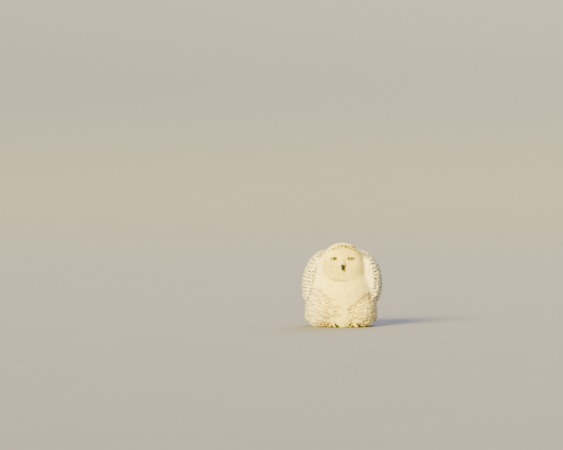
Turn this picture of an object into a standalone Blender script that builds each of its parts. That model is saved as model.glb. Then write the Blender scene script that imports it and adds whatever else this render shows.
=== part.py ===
"""A snowy owl squatting on the ground, life size, as closed solids out to the tips of its feathers.

Metres, +Z up. The bird faces -Y and its own left side is +X. The floor is z = 0: the belly, the toes
and the tips of the claws rest on it. The origin is on the floor, under the middle of the bird's box.

The body is a loft of level slices. It is joined to the head, then parted with thin slanting cuts into
head, neck and trunk. Wings, tail and thighs are laid on it, and each is cut back from its neighbour
so that a gap of GAP is left between them.
"""

import math

import bmesh
import bpy
from mathutils import Matrix, Vector

# Driving dimensions.
GAP = 0.0003
SHARPEST = 3.0  # a corner is moved out by no more than this many gaps
SAME_POINT = 1e-7  # a plane's cut takes points this near to it as lying on it

# How finely the round forms are faceted: round them, or round them and from pole to pole.
BODY_SEGMENTS = 26
HEAD_SEGMENTS = 32
WING_SEGMENTS = 18
TAIL_SEGMENTS = 18
BILL_SEGMENTS = 12
TOE_SEGMENTS = 7
CLAW_SEGMENTS = 6
SHANK_SEGMENTS = 12
EYE_FACETS = (14, 8)
LID_FACETS = (12, 6)
THIGH_FACETS = (16, 10)
PALM_FACETS = (10, 6)
FOOT_BAY_FACETS = (14, 8)

# A loft's slices lie evenly at 0, and as on a ball, crowding together at both ends, at 1.
BODY_CROWDING = 0.8
WING_CROWDING = 0.45
TAIL_CROWDING = 0.5

# The trunk's level slices: height, half width, breast line (-Y), back line (+Y).
TRUNK_SLICES = (
    (-0.003, 0.040, -0.030, 0.075),
    (0.000, 0.058, -0.046, 0.095),
    (0.006, 0.100, -0.082, 0.128),
    (0.018, 0.129, -0.108, 0.154),
    (0.042, 0.1360, -0.124, 0.176),
    (0.080, 0.1330, -0.133, 0.180),
    (0.120, 0.1280, -0.136, 0.170),
    (0.160, 0.1200, -0.131, 0.154),
    (0.200, 0.1090, -0.113, 0.138),
    (0.240, 0.0920, -0.078, 0.120),
    (0.268, 0.0700, -0.036, 0.100),
    (0.284, 0.0420, 0.002, 0.078),
    (0.290, 0.0150, 0.026, 0.055),
)
TRUNK_WIDEST_Y = 0.012
TRUNK_SQUARENESS = 2.25
TRUNK_STEPS = 14
NEAREST_TO_END = 0.3  # a slice's widest place stays this share of its length from either end
LEAN_X = -0.006  # the belly sits this far to the bird's right of its head
LEAN_FADES_Z = 0.190

# The head's level slices, in the same form. The last is just under the crown.
HEAD_SLICES = (
    (0.150, 0.070, -0.105, 0.020),
    (0.168, 0.0810, -0.1165, 0.032),
    (0.190, 0.0860, -0.1225, 0.037),
    (0.212, 0.0865, -0.1235, 0.038),
    (0.235, 0.0835, -0.1195, 0.036),
    (0.2535, 0.0775, -0.1135, 0.031),
    (0.272, 0.0680, -0.1050, 0.022),
    (0.288, 0.0550, -0.0930, 0.010),
    (0.300, 0.0390, -0.0780, -0.006),
    (0.307, 0.0220, -0.0620, -0.022),
    (0.3095, 0.0080, -0.0500, -0.034),
)
HEAD_WIDEST_Y = -0.040
HEAD_SQUARENESS = 2.25
HEAD_STEPS = 14

# The two cuts that part head, neck and trunk slant up from the throat to the nape.
NAPE_Y = 0.044
THROAT_Y = -0.125
HEAD_CUT_Z = (0.176, 0.290)  # at the throat, at the nape
NECK_CUT_Z = (0.146, 0.284)

# Eyes: almond openings between heavy lids, in shallow hollows either side of the bill's root.
EYE_X = 0.0324
EYE_Z = 0.2534
EYE_FRONT_Y = -0.1028
EYE_RADIUS = 0.0135
EYE_OPENING = (0.0125, 0.0100, 0.0064)
EYE_OPENING_AHEAD = 0.0020  # the middle of the opening is this far before the eye
# The face's relief: depth, then half width and half height where it has faded to a third.
EYE_HOLLOW = (0.0032, 0.0190, 0.0130)
BRISTLE_MOUND = (0.0045, 0.0130, 0.0170)
BRISTLE_MOUND_Z = 0.2330

# The bill's stations from its root to its tip: y, z, half width, half depth.
UPPER_BILL = (
    (-0.1000, 0.2335, 0.0088, 0.0100),
    (-0.1140, 0.2335, 0.0086, 0.0096),
    (-0.1245, 0.2310, 0.0084, 0.0084),
    (-0.1325, 0.2250, 0.0072, 0.0064),
    (-0.1355, 0.2170, 0.0044, 0.0042),
    (-0.1345, 0.2085, 0.0009, 0.0010),
)
LOWER_BILL = (
    (-0.1000, 0.2185, 0.0070, 0.0045),
    (-0.1140, 0.2175, 0.0060, 0.0042),
    (-0.1240, 0.2155, 0.0038, 0.0030),
    (-0.1290, 0.2135, 0.0013, 0.0012),
)

# The left wing's upright slices, front to tip: y, upper edge (x, z), lower edge (x, z),
# swell outside the line between the edges, and swell inside it.
WING_SLICES = (
    (-0.0880, (0.1080, 0.2120), (0.1160, 0.1520), 0.0050, 0.0060),
    (-0.0810, (0.0990, 0.2340), (0.1190, 0.1260), 0.0190, 0.0080),
    (-0.0620, (0.0850, 0.2560), (0.1200, 0.0980), 0.0370, 0.0100),
    (-0.0300, (0.0680, 0.2730), (0.1200, 0.0800), 0.0510, 0.0100),
    (0.0150, (0.0530, 0.2850), (0.1180, 0.0700), 0.0620, 0.0100),
    (0.0600, (0.0400, 0.2820), (0.1140, 0.0620), 0.0600, 0.0100),
    (0.1050, (0.0290, 0.2540), (0.1040, 0.0560), 0.0500, 0.0100),
    (0.1500, (0.0200, 0.2080), (0.0890, 0.0510), 0.0390, 0.0100),
    (0.1950, (0.0140, 0.1570), (0.0710, 0.0470), 0.0270, 0.0080),
    (0.2400, (0.0110, 0.1120), (0.0540, 0.0450), 0.0170, 0.0050),
    (0.2800, (0.0120, 0.0800), (0.0420, 0.0440), 0.0100, 0.0040),
    (0.3080, (0.0180, 0.0600), (0.0310, 0.0440), 0.0050, 0.0030),
)
WING_EDGE = 1.22  # above 1 the wing thins out towards its edges
WING_SHOULDER = 0.12  # the wing swells by this share more above its middle, and less below
WING_STEPS = 15
PRIMARIES_Y = 0.192  # behind this the wing is its long flight feathers

# The tail's slices: y, height of its middle, half width, half thickness.
TAIL_SLICES = (
    (0.1200, 0.0560, 0.0440, 0.0200),
    (0.1600, 0.0480, 0.0480, 0.0155),
    (0.2000, 0.0400, 0.0510, 0.0090),
    (0.2500, 0.0310, 0.0550, 0.0050),
    (0.3000, 0.0235, 0.0580, 0.0034),
    (0.3240, 0.0200, 0.0520, 0.0028),
    (0.3370, 0.0185, 0.0380, 0.0024),
    (0.3430, 0.0180, 0.0200, 0.0018),
)
TAIL_STEPS = 12
TAIL_SQUARENESS = 2.6
TAIL_CROWN = 0.004  # the outer tail feathers sit this much lower than the middle ones

# The hollow under the belly where the feet show.
FOOT_BAY_CENTRE = (0.0, -0.1050, -0.0040)
FOOT_BAY_RADII = (0.0820, 0.0720, 0.0290)

# Thighs and feet, for the left side.
THIGH_CENTRE = (0.0680, -0.0470, 0.0600)
THIGH_RADII = (0.0630, 0.0820, 0.0610)
SHANK_AT = (0.0360, -0.0720)
SHANK_RADII = (0.0185, 0.0230)  # at the foot, at the top
SHANK_TOP = 0.0600
PALM_RADII = (0.0180, 0.0210, 0.0160)
TOE_LENGTH = 0.0480
TOE_RADIUS = 0.0125
TOE_TIP_RADIUS = 0.0100
TOE_MIDDLE_Z = 0.0108
TOE_STATIONS = (0.0, 0.5, 0.85, 0.96, 1.0)
TOE_ROUNDS_FROM = 0.8
TOE_ROUNDS_OVER = 0.205  # a little past the tip, so that the last ring keeps a width
# Each toe's name, its turn outwards from straight ahead in degrees, and its share of TOE_LENGTH.
TOES = (("inner", -12.0, 0.96), ("middle", 22.0, 1.0), ("outer", 74.0, 0.86), ("hind", 172.0, 0.60))
CLAW_RADIUS = 0.0040
CLAW_REACH = 0.0210
CLAW_ROOT_Z = 0.0125
CLAW_TIP_Z = 0.0012
CLAW_SUNK = 0.0060
CLAW_BEND = math.radians(78.0)
CLAW_TAPER = 0.82
CLAW_STEPS = 5

WHITE = (0.86, 0.82, 0.73)
BARRED = (0.74, 0.68, 0.57)
HORN = (0.025, 0.022, 0.020)
YELLOW = (0.93, 0.68, 0.05)

model = None
cutters = None


def start_scene():
    """Empties the file, and makes the collections for the bird and for its cutters."""
    global model, cutters
    for obj in list(bpy.data.objects):
        bpy.data.objects.remove(obj)
    model = bpy.data.collections.new("snowy_owl")
    cutters = bpy.data.collections.new("cutters")
    for group in (model, cutters):
        bpy.context.scene.collection.children.link(group)


def material(name, colour, roughness):
    made = bpy.data.materials.new(name)
    made.use_nodes = True
    shader = made.node_tree.nodes["Principled BSDF"]
    shader.inputs["Base Color"].default_value = (*colour, 1.0)
    shader.inputs["Roughness"].default_value = roughness
    shader.inputs["Metallic"].default_value = 0.0
    return made


def object_from(name, bm, group):
    """Links a mesh made from bm, with its faces turned out, and frees bm."""
    bmesh.ops.recalc_face_normals(bm, faces=bm.faces)
    mesh = bpy.data.meshes.new(name)
    bm.to_mesh(mesh)
    bm.free()
    mesh.shade_smooth()
    obj = bpy.data.objects.new(name, mesh)
    group.objects.link(obj)
    return obj


def helper(name, bm):
    """A cutter or a guide, which isn't part of the bird."""
    obj = object_from(name, bm, cutters)
    obj.hide_render = True
    obj.display_type = "WIRE"
    return obj


def keep_as_node(obj, name, look):
    """Makes a helper into one of the bird's own parts."""
    cutters.objects.unlink(obj)
    model.objects.link(obj)
    obj.name = name
    obj.hide_render = False
    obj.display_type = "TEXTURED"
    obj.data.materials.clear()
    obj.data.materials.append(look)
    return obj


def smooth_profile(pairs):
    """A curve through (place, value) pairs that never swings past them, as a function of the place."""
    places = [p for p, _ in pairs]
    values = [v for _, v in pairs]
    steps = [places[i + 1] - places[i] for i in range(len(places) - 1)]
    rises = [(values[i + 1] - values[i]) / steps[i] for i in range(len(steps))]
    slopes = [rises[0]]
    for before, after in zip(rises, rises[1:]):
        slopes.append(0.0 if before * after <= 0 else 2 * before * after / (before + after))
    slopes.append(rises[-1])

    def at(place):
        i = max(0, min(len(steps) - 1, sum(place >= p for p in places) - 1))
        h = steps[i]
        t = min(1.0, max(0.0, (place - places[i]) / h))
        return (
            values[i] * (2 * t**3 - 3 * t**2 + 1)
            + slopes[i] * h * (t**3 - 2 * t**2 + t)
            + values[i + 1] * (3 * t**2 - 2 * t**3)
            + slopes[i + 1] * h * (t**3 - t**2)
        )

    return at


def columns(rows):
    """One smooth profile for each column of a table whose first column is the place."""
    return [smooth_profile([(row[0], row[k]) for row in rows]) for k in range(1, len(rows[0]))]


def spaced(low, high, count, crowding):
    """count places from low to high, which crowd together at both ends."""
    places = []
    for i in range(count):
        even = i / (count - 1)
        round_ends = (1 - math.cos(math.pi * even)) / 2
        places.append(low + (high - low) * (crowding * round_ends + (1 - crowding) * even))
    return places


def superellipse(turn, squareness):
    """A point on a unit circle that is squared off as squareness rises above 2."""
    c, s = math.cos(turn), math.sin(turn)
    power = 2 / squareness
    return math.copysign(abs(c) ** power, c), math.copysign(abs(s) ** power, s)


def loft(name, rings):
    """A closed skin over rings of the same number of points."""
    bm = bmesh.new()
    made = [[bm.verts.new(point) for point in ring] for ring in rings]
    count = len(made[0])
    for near, far in zip(made, made[1:]):
        for i in range(count):
            j = (i + 1) % count
            bm.faces.new((near[i], near[j], far[j], far[i]))
    for ring in (made[0], made[-1]):
        middle = bm.verts.new(sum((v.co for v in ring), Vector()) / count)
        for i in range(count):
            bm.faces.new((middle, ring[i], ring[(i + 1) % count]))
    # A twisted four-sided face could fold either way, and a copy of it has to fold as it does.
    bmesh.ops.triangulate(bm, faces=bm.faces)
    return helper(name, bm)


def level_rings(slices, widest_y, squareness, steps, segments):
    """Level rings, each an egg in plan that is widest at widest_y."""
    half_width, front, back = columns(slices)
    rings = []
    for z in spaced(slices[0][0], slices[-1][0], steps, BODY_CROWDING):
        margin = NEAREST_TO_END * (back(z) - front(z))
        middle_y = min(max(widest_y, front(z) + margin), back(z) - margin)
        ring = []
        for k in range(segments):
            x, y = superellipse(2 * math.pi * k / segments, squareness)
            reach = back(z) - middle_y if y > 0 else middle_y - front(z)
            ring.append(Vector((x * half_width(z), middle_y + y * reach, z)))
        rings.append(ring)
    return rings


def ellipsoid(name, centre, radii, facets):
    bm = bmesh.new()
    place = Matrix.Translation(centre) @ Matrix.Diagonal((*radii, 1.0))
    bmesh.ops.create_uvsphere(bm, u_segments=facets[0], v_segments=facets[1], radius=1.0, matrix=place)
    return helper(name, bm)


def replace_mesh(obj, mesh):
    old = obj.data
    obj.modifiers.clear()
    obj.data = mesh
    bpy.data.meshes.remove(old)


def join_or_cut(obj, other, operation):
    """Applies one exact Boolean to obj."""
    step = obj.modifiers.new("step", "BOOLEAN")
    step.operation = operation
    step.solver = "EXACT"
    step.object = other
    bpy.context.view_layer.update()
    graph = bpy.context.evaluated_depsgraph_get()
    replace_mesh(obj, bpy.data.meshes.new_from_object(obj.evaluated_get(graph)))
    return obj


def swollen(obj, by=GAP):
    """A copy of obj whose surface stands out by this much, to cut a neighbour with."""
    bm = bmesh.new()
    bm.from_mesh(obj.data)
    bm.normal_update()
    moves = [v.normal * (by * min(v.calc_shell_factor(), SHARPEST)) for v in bm.verts]
    for v, move in zip(bm.verts, moves):
        v.co += move
    return helper(obj.name + "_room", bm)


def cut_room(obj, *neighbours):
    """Cuts obj back from its neighbours, leaving the gap."""
    for neighbour in neighbours:
        join_or_cut(obj, swollen(neighbour), "DIFFERENCE")
    return obj


def copy_kept(obj, name, planes):
    """The part of obj on the side of each plane (point, normal) that its normal points to."""
    bm = bmesh.new()
    bm.from_mesh(obj.data)
    for point, normal in planes:
        everything = bm.verts[:] + bm.edges[:] + bm.faces[:]
        bmesh.ops.bisect_plane(
            bm, geom=everything, plane_co=point, plane_no=normal, clear_inner=True, dist=SAME_POINT
        )
        rim = [edge for edge in bm.edges if edge.is_boundary]
        bmesh.ops.holes_fill(bm, edges=rim, sides=0)
    return helper(name, bm)


def drop_crumbs(obj):
    """Keeps only the largest piece of obj, as cuts can leave a crumb beside it."""
    bm = bmesh.new()
    bm.from_mesh(obj.data)
    unseen = set(bm.verts)
    largest = set()
    while unseen:
        piece, edge_of_piece = set(), {unseen.pop()}
        while edge_of_piece:
            v = edge_of_piece.pop()
            piece.add(v)
            edge_of_piece |= {e.other_vert(v) for e in v.link_edges} - piece
        unseen -= piece
        largest = max(largest, piece, key=len)
    bmesh.ops.delete(bm, geom=[v for v in bm.verts if v not in largest], context="VERTS")
    bm.to_mesh(obj.data)
    bm.free()


def stand_on_floor(obj):
    """Cuts off what is under the floor, which leaves small flats at z = 0."""
    flat = copy_kept(obj, obj.name + "_flat", [(Vector((0, 0, 0)), Vector((0, 0, 1)))])
    mesh = flat.data.copy()
    bpy.data.objects.remove(flat)
    replace_mesh(obj, mesh)
    return obj


def body_lean(z):
    """The belly's shift to one side, fading out towards the neck."""
    return LEAN_X * max(0.0, 1 - (max(z, 0.0) / LEAN_FADES_Z) ** 2)


def slanting_plane(heights):
    """A plane through the throat and the nape at these heights: its point, and its normal to the head."""
    throat = Vector((0, THROAT_Y, heights[0]))
    nape = Vector((0, NAPE_Y, heights[1]))
    along = (nape - throat).normalized()
    return throat, Vector((0, -along.z, along.y))


def eye(side):
    """The eyeball, a sphere that shows between the lids."""
    centre = (side * EYE_X, EYE_FRONT_Y + EYE_RADIUS, EYE_Z)
    return ellipsoid("eye", centre, (EYE_RADIUS,) * 3, EYE_FACETS)


def eye_opening(side):
    """The almond between the lids."""
    centre = (side * EYE_X, EYE_FRONT_Y - EYE_OPENING_AHEAD, EYE_Z)
    return ellipsoid("opening", centre, EYE_OPENING, LID_FACETS)


def horn(name, stations):
    """A tapering horn in the plane x = 0 through stations of y, z, half width and half depth."""
    rings = []
    for i, (y, z, half_width, half_depth) in enumerate(stations):
        before = stations[max(i - 1, 0)]
        after = stations[min(i + 1, len(stations) - 1)]
        along = Vector((0, after[0] - before[0], after[1] - before[1])).normalized()
        up = Vector((1, 0, 0)).cross(along)
        ring = []
        for k in range(BILL_SEGMENTS):
            turn = 2 * math.pi * k / BILL_SEGMENTS
            side = Vector((math.cos(turn) * half_width, 0, 0))
            ring.append(Vector((0, y, z)) + side + up * (math.sin(turn) * half_depth))
        rings.append(ring)
    return loft(name, rings)


def wing(side):
    """A folded wing as upright slices, each an oval between its upper and lower edges."""
    rows = [(y, *upper, *lower, out, inside) for y, upper, lower, out, inside in WING_SLICES]
    upper_x, upper_z, lower_x, lower_z, swell_out, swell_in = columns(rows)
    rings = []
    for y in spaced(rows[0][0], rows[-1][0], WING_STEPS, WING_CROWDING):
        upper = Vector((upper_x(y), 0, upper_z(y)))
        lower = Vector((lower_x(y), 0, lower_z(y)))
        half = (upper - lower) / 2
        out = Vector((half.z, 0, -half.x)).normalized()
        ring = []
        for k in range(WING_SEGMENTS):
            turn = 2 * math.pi * k / WING_SEGMENTS
            s = math.copysign(abs(math.sin(turn)) ** WING_EDGE, math.sin(turn))
            swell = swell_out(y) if s > 0 else swell_in(y)
            swell *= 1 + WING_SHOULDER * math.cos(turn)
            point = (upper + lower) / 2 + half * math.cos(turn) + out * (s * swell)
            ring.append(Vector((side * point.x + body_lean(point.z), y, point.z)))
        rings.append(ring)
    return loft("wing", rings)


def tail():
    """The closed fan of the tail, a flat blade that droops at its sides."""
    middle_z, half_width, half_thickness = columns(TAIL_SLICES)
    rings = []
    for y in spaced(TAIL_SLICES[0][0], TAIL_SLICES[-1][0], TAIL_STEPS, TAIL_CROWDING):
        ring = []
        for k in range(TAIL_SEGMENTS):
            x, z = superellipse(2 * math.pi * k / TAIL_SEGMENTS, TAIL_SQUARENESS)
            height = middle_z(y) + z * half_thickness(y) - TAIL_CROWN * x * x
            ring.append(Vector((x * half_width(y), y, height)))
        rings.append(ring)
    return loft("tail", rings)


def toe_direction(side, turn):
    angle = math.radians(turn)
    return Vector((side * math.sin(angle), -math.cos(angle), 0))


def toe(side, turn, share, room=0.0):
    """One feathered toe, rounded at its end."""
    out = toe_direction(side, turn)
    across = Vector((-out.y, out.x, 0))
    start = Vector((side * SHANK_AT[0], SHANK_AT[1], TOE_MIDDLE_Z))
    length = TOE_LENGTH * share + room
    rings = []
    for along in TOE_STATIONS:
        end_round = math.sqrt(1 - max(0.0, (along - TOE_ROUNDS_FROM) / TOE_ROUNDS_OVER) ** 2)
        radius = (TOE_RADIUS + (TOE_TIP_RADIUS - TOE_RADIUS) * along) * end_round + room
        ring = []
        for k in range(TOE_SEGMENTS):
            turn_k = 2 * math.pi * k / TOE_SEGMENTS
            reach = across * math.cos(turn_k) + Vector((0, 0, 1)) * math.sin(turn_k)
            ring.append(start + out * (length * along) + reach * radius)
        rings.append(ring)
    return loft("toe", rings)


def foot_pieces(side, room=0.0):
    """The palm, then its four toes."""
    palm = (side * SHANK_AT[0], SHANK_AT[1], TOE_MIDDLE_Z)
    made = [ellipsoid("foot", palm, [radius + room for radius in PALM_RADII], PALM_FACETS)]
    return made + [toe(side, turn, share, room) for _, turn, share in TOES]


def foot(side):
    """The palm and its four toes as one piece, flat where it treads."""
    made, *toes = foot_pieces(side)
    for one in toes:
        join_or_cut(made, one, "UNION")
    return stand_on_floor(made)


def claw(side, turn, share):
    """A curved claw that leaves the end of its toe and comes down to the floor."""
    out = toe_direction(side, turn)
    across = Vector((-out.y, out.x, 0))
    start = Vector((side * SHANK_AT[0], SHANK_AT[1], 0))
    root = TOE_LENGTH * share - CLAW_SUNK
    rings = []
    for i in range(CLAW_STEPS):
        t = i / (CLAW_STEPS - 1)
        bend = t * CLAW_BEND
        ahead = math.sin(bend) / math.sin(CLAW_BEND)
        drop = (1 - math.cos(bend)) / (1 - math.cos(CLAW_BEND))
        middle = start + out * (root + CLAW_REACH * ahead)
        middle.z = CLAW_ROOT_Z + (CLAW_TIP_Z - CLAW_ROOT_Z) * drop
        up = (Vector((0, 0, 1)) * math.cos(bend) + out * math.sin(bend)).normalized()
        radius = CLAW_RADIUS * (1 - CLAW_TAPER * t)
        ring = []
        for k in range(CLAW_SEGMENTS):
            turn_k = 2 * math.pi * k / CLAW_SEGMENTS
            ring.append(middle + (across * math.cos(turn_k) + up * math.sin(turn_k)) * radius)
        rings.append(ring)
    return loft("claw", rings)


def thigh_mass(side, room=0.0):
    """The egg of flank feathers over the folded leg."""
    centre = (side * THIGH_CENTRE[0] + LEAN_X, THIGH_CENTRE[1], THIGH_CENTRE[2])
    return ellipsoid("thigh", centre, [radius + room for radius in THIGH_RADII], THIGH_FACETS)


def shank(side, room=0.0):
    """The short feathered shank from the foot up into the thigh."""
    bm = bmesh.new()
    middle = Vector((side * SHANK_AT[0], SHANK_AT[1], (TOE_MIDDLE_Z + SHANK_TOP) / 2))
    bmesh.ops.create_cone(
        bm,
        cap_ends=True,
        segments=SHANK_SEGMENTS,
        radius1=SHANK_RADII[0] + room,
        radius2=SHANK_RADII[1] + room,
        depth=SHANK_TOP - TOE_MIDDLE_Z + 2 * room,
        matrix=Matrix.Translation(middle),
    )
    return helper("shank", bm)


def thigh(side):
    """The mass of flank feathers, hollowed over the foot, with the shank under it."""
    made = join_or_cut(thigh_mass(side), foot_bay(), "DIFFERENCE")
    return join_or_cut(made, shank(side), "UNION")


def foot_bay():
    """The hollow under the front of the belly, with the feet in it."""
    return ellipsoid("foot_bay", FOOT_BAY_CENTRE, FOOT_BAY_RADII, FOOT_BAY_FACETS)


def leaning_trunk():
    """The egg of the body up to the shoulders."""
    rings = level_rings(TRUNK_SLICES, TRUNK_WIDEST_Y, TRUNK_SQUARENESS, TRUNK_STEPS, BODY_SEGMENTS)
    for ring in rings:
        for point in ring:
            point.x += body_lean(point.z)
    return loft("whole", rings)


def fading(relief, across, up):
    """A relief's depth at this distance from its middle."""
    depth, half_width, half_height = relief
    return depth * math.exp(-((across / half_width) ** 2) - (up / half_height) ** 2)


def skull_with_face():
    """The head's dome, with a hollow round each eye and a mound of bristles round the bill's root."""
    rings = level_rings(HEAD_SLICES, HEAD_WIDEST_Y, HEAD_SQUARENESS, HEAD_STEPS, HEAD_SEGMENTS)
    for ring in rings:
        for point in ring:
            if point.y < HEAD_WIDEST_Y:
                point.y += fading(EYE_HOLLOW, abs(point.x) - EYE_X, point.z - EYE_Z)
                point.y -= fading(BRISTLE_MOUND, point.x, point.z - BRISTLE_MOUND_Z)
    return loft("skull", rings)


def build_body(white):
    """Joins head and trunk, and parts them again as head, neck and trunk. Also gives their rooms."""
    whole = leaning_trunk()
    skull = skull_with_face()
    rooms = [swollen(whole), swollen(skull)]
    stand_on_floor(whole)
    join_or_cut(whole, foot_bay(), "DIFFERENCE")
    join_or_cut(whole, skull, "UNION")
    head_point, head_normal = slanting_plane(HEAD_CUT_Z)
    neck_point, neck_normal = slanting_plane(NECK_CUT_Z)
    half = GAP / 2
    head = copy_kept(whole, "head", [(head_point + head_normal * half, head_normal)])
    neck = copy_kept(
        whole,
        "neck",
        [(head_point - head_normal * half, -head_normal), (neck_point + neck_normal * half, neck_normal)],
    )
    trunk = copy_kept(whole, "trunk", [(neck_point - neck_normal * half, -neck_normal)])
    for obj, name in ((head, "head"), (neck, "neck"), (trunk, "trunk")):
        keep_as_node(obj, name, white)
    return rooms, head, trunk


def build_face(head, horn_look, yellow):
    """Sets the eyes and the bill into the head."""
    for side, name in ((1, "left"), (-1, "right")):
        ball = eye(side)
        join_or_cut(head, eye_opening(side), "DIFFERENCE")
        cut_room(head, ball)
        keep_as_node(ball, "eye_" + name, yellow)
    upper = horn("upper", UPPER_BILL)
    lower = cut_room(horn("lower", LOWER_BILL), upper)
    cut_room(head, upper, lower)
    keep_as_node(upper, "bill_upper", horn_look)
    keep_as_node(lower, "bill_lower", horn_look)


def build_legs(trunk, barred, white, horn_look):
    """Lays thighs, feet and claws under the belly."""
    for side, name in ((1, "left"), (-1, "right")):
        leg = thigh(side)
        tread = foot(side)
        join_or_cut(trunk, thigh_mass(side, GAP), "DIFFERENCE")
        join_or_cut(trunk, shank(side, GAP), "DIFFERENCE")
        for piece in foot_pieces(side, GAP):
            join_or_cut(trunk, piece, "DIFFERENCE")
            join_or_cut(leg, piece, "DIFFERENCE")
        for toe_name, turn, share in TOES:
            nail = claw(side, turn, share)
            for neighbour in (tread, leg, trunk):
                cut_room(neighbour, nail)
            keep_as_node(nail, f"claw_{name}_{toe_name}", horn_look)
        drop_crumbs(stand_on_floor(leg))
        keep_as_node(tread, "foot_" + name, white)
        keep_as_node(leg, "leg_" + name, barred)
    drop_crumbs(trunk)


def build_wings_and_tail(rooms, barred):
    """Lays the tail behind the rump and a wing on each flank, and parts each wing's long feathers."""
    fan = tail()
    for room in rooms:
        join_or_cut(fan, room, "DIFFERENCE")
    for side, name in ((1, "left"), (-1, "right")):
        blade = wing(side)
        for room in (*rooms, thigh_mass(side, GAP)):
            join_or_cut(blade, room, "DIFFERENCE")
        cut_room(blade, fan)
        near = Vector((0, PRIMARIES_Y - GAP / 2, 0))
        far = Vector((0, PRIMARIES_Y + GAP / 2, 0))
        arm = copy_kept(blade, "arm", [(near, Vector((0, -1, 0)))])
        hand = copy_kept(blade, "hand", [(far, Vector((0, 1, 0)))])
        keep_as_node(arm, "wing_" + name, barred)
        keep_as_node(hand, "primaries_" + name, barred)
    keep_as_node(fan, "tail", barred)


def centre_over_origin():
    """Moves the whole bird so that its box is centred over the origin."""
    bpy.context.view_layer.update()
    corners = [obj.matrix_world @ Vector(c) for obj in model.objects for c in obj.bound_box]
    middle = [(min(c[k] for c in corners) + max(c[k] for c in corners)) / 2 for k in (0, 1)]
    root = bpy.data.objects.new("owl", None)
    model.objects.link(root)
    for obj in list(model.objects):
        if obj is not root:
            obj.parent = root
    root.location = (-middle[0], -middle[1], 0)
    bpy.context.view_layer.update()


def main():
    start_scene()
    white = material("white_feathers", WHITE, 0.9)
    barred = material("barred_feathers", BARRED, 0.9)
    horn_look = material("black_horn", HORN, 0.35)
    yellow = material("yellow_iris", YELLOW, 0.1)
    rooms, head, trunk = build_body(white)
    build_face(head, horn_look, yellow)
    build_legs(trunk, barred, white, horn_look)
    build_wings_and_tail(rooms, barred)
    centre_over_origin()
    for obj in list(cutters.objects):
        bpy.data.objects.remove(obj)


main()
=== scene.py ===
"""The looks of a still, life-size snowy owl: one skin, under a coat of mesh feathers.

Metres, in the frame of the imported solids: the owl faces -Y, its own left side is +X, the floor is z = 0.

The flesh nodes become one form that reaches to the feathers' tips. The skin lies inside it by the coat's
depth. Each feather is a small grid of faces that starts at the skin, follows the lie of the coat over the
form and ends at the form's surface. Skin and feathers take their dark marks from the same functions.
"""

import math

import bmesh
import bpy
import numpy as np
from mathutils import Matrix, Vector
from mathutils.bvhtree import BVHTree
from mathutils.kdtree import KDTree


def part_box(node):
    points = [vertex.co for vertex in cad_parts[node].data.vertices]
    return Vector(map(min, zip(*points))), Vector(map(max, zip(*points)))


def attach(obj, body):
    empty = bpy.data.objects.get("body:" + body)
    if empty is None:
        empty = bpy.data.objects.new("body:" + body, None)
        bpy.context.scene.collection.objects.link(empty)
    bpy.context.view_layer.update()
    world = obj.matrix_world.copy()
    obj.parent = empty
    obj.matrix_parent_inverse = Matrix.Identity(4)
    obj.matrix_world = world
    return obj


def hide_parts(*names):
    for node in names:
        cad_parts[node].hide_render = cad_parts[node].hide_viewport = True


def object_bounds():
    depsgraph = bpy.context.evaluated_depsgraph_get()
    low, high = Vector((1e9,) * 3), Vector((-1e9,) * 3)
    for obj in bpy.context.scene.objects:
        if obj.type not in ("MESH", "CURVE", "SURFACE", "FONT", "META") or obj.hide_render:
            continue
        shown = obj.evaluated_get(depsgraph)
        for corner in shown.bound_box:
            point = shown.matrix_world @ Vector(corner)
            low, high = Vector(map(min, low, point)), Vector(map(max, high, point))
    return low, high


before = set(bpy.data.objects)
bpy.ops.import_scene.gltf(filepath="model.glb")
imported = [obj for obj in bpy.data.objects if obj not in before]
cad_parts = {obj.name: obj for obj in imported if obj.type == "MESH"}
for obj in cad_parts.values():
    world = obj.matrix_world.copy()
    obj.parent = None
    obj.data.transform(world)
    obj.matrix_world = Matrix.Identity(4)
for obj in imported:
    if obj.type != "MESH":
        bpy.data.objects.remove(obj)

CAD_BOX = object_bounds()
rng = np.random.default_rng(11)

SIDES = {"left": 1.0, "right": -1.0}
FLESH = ["head", "neck", "trunk"] + [f"{part}_{side}" for part in ("leg", "foot", "wing") for side in SIDES]
FLIGHTS = ["primaries_left", "primaries_right", "tail"]
FEET = ["foot_left", "foot_right"]
FEATHERED = [node for node in FLESH if node not in FEET] + FLIGHTS
BODY = ("neck", "trunk", "leg")


# ---------------------------------------------------------------- places, all worked out from the frame


def corners(node):
    low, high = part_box(node)
    return np.array(low), np.array(high)


def middle(node):
    low, high = corners(node)
    return (low + high) / 2


EYES = {side: middle(f"eye_{side}") for side in SIDES}
EYE_RADIUS = (corners("eye_left")[1] - corners("eye_left")[0])[2] / 2
MID_X = (EYES["left"][0] + EYES["right"][0]) / 2
EYE_Z = EYES["left"][2]
EYE_FRONT_Y = corners("eye_left")[0][1]
BILL_LOW, BILL_HIGH = corners("bill_upper")
BILL_ROOT = np.array([MID_X, EYE_FRONT_Y - 0.006, BILL_HIGH[2] - 0.010])
HEAD_TOP_Z = corners("head")[1][2]
HEAD_MIDDLE = middle("head")
BELLY_FRONT_Y = corners("trunk")[0][1]
BODY_MIDDLE = middle("trunk")
WING_FRONT_Y = corners("wing_left")[0][1]
WING_BACK_Y = corners("wing_left")[1][1]
WING_TIP_Y = corners("primaries_left")[1][1]
TAIL_LOW, TAIL_HIGH = corners("tail")
TAIL_ROOT = np.array([MID_X, TAIL_LOW[1] + 0.03, (TAIL_LOW[2] + TAIL_HIGH[2]) / 2 + 0.01])


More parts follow.
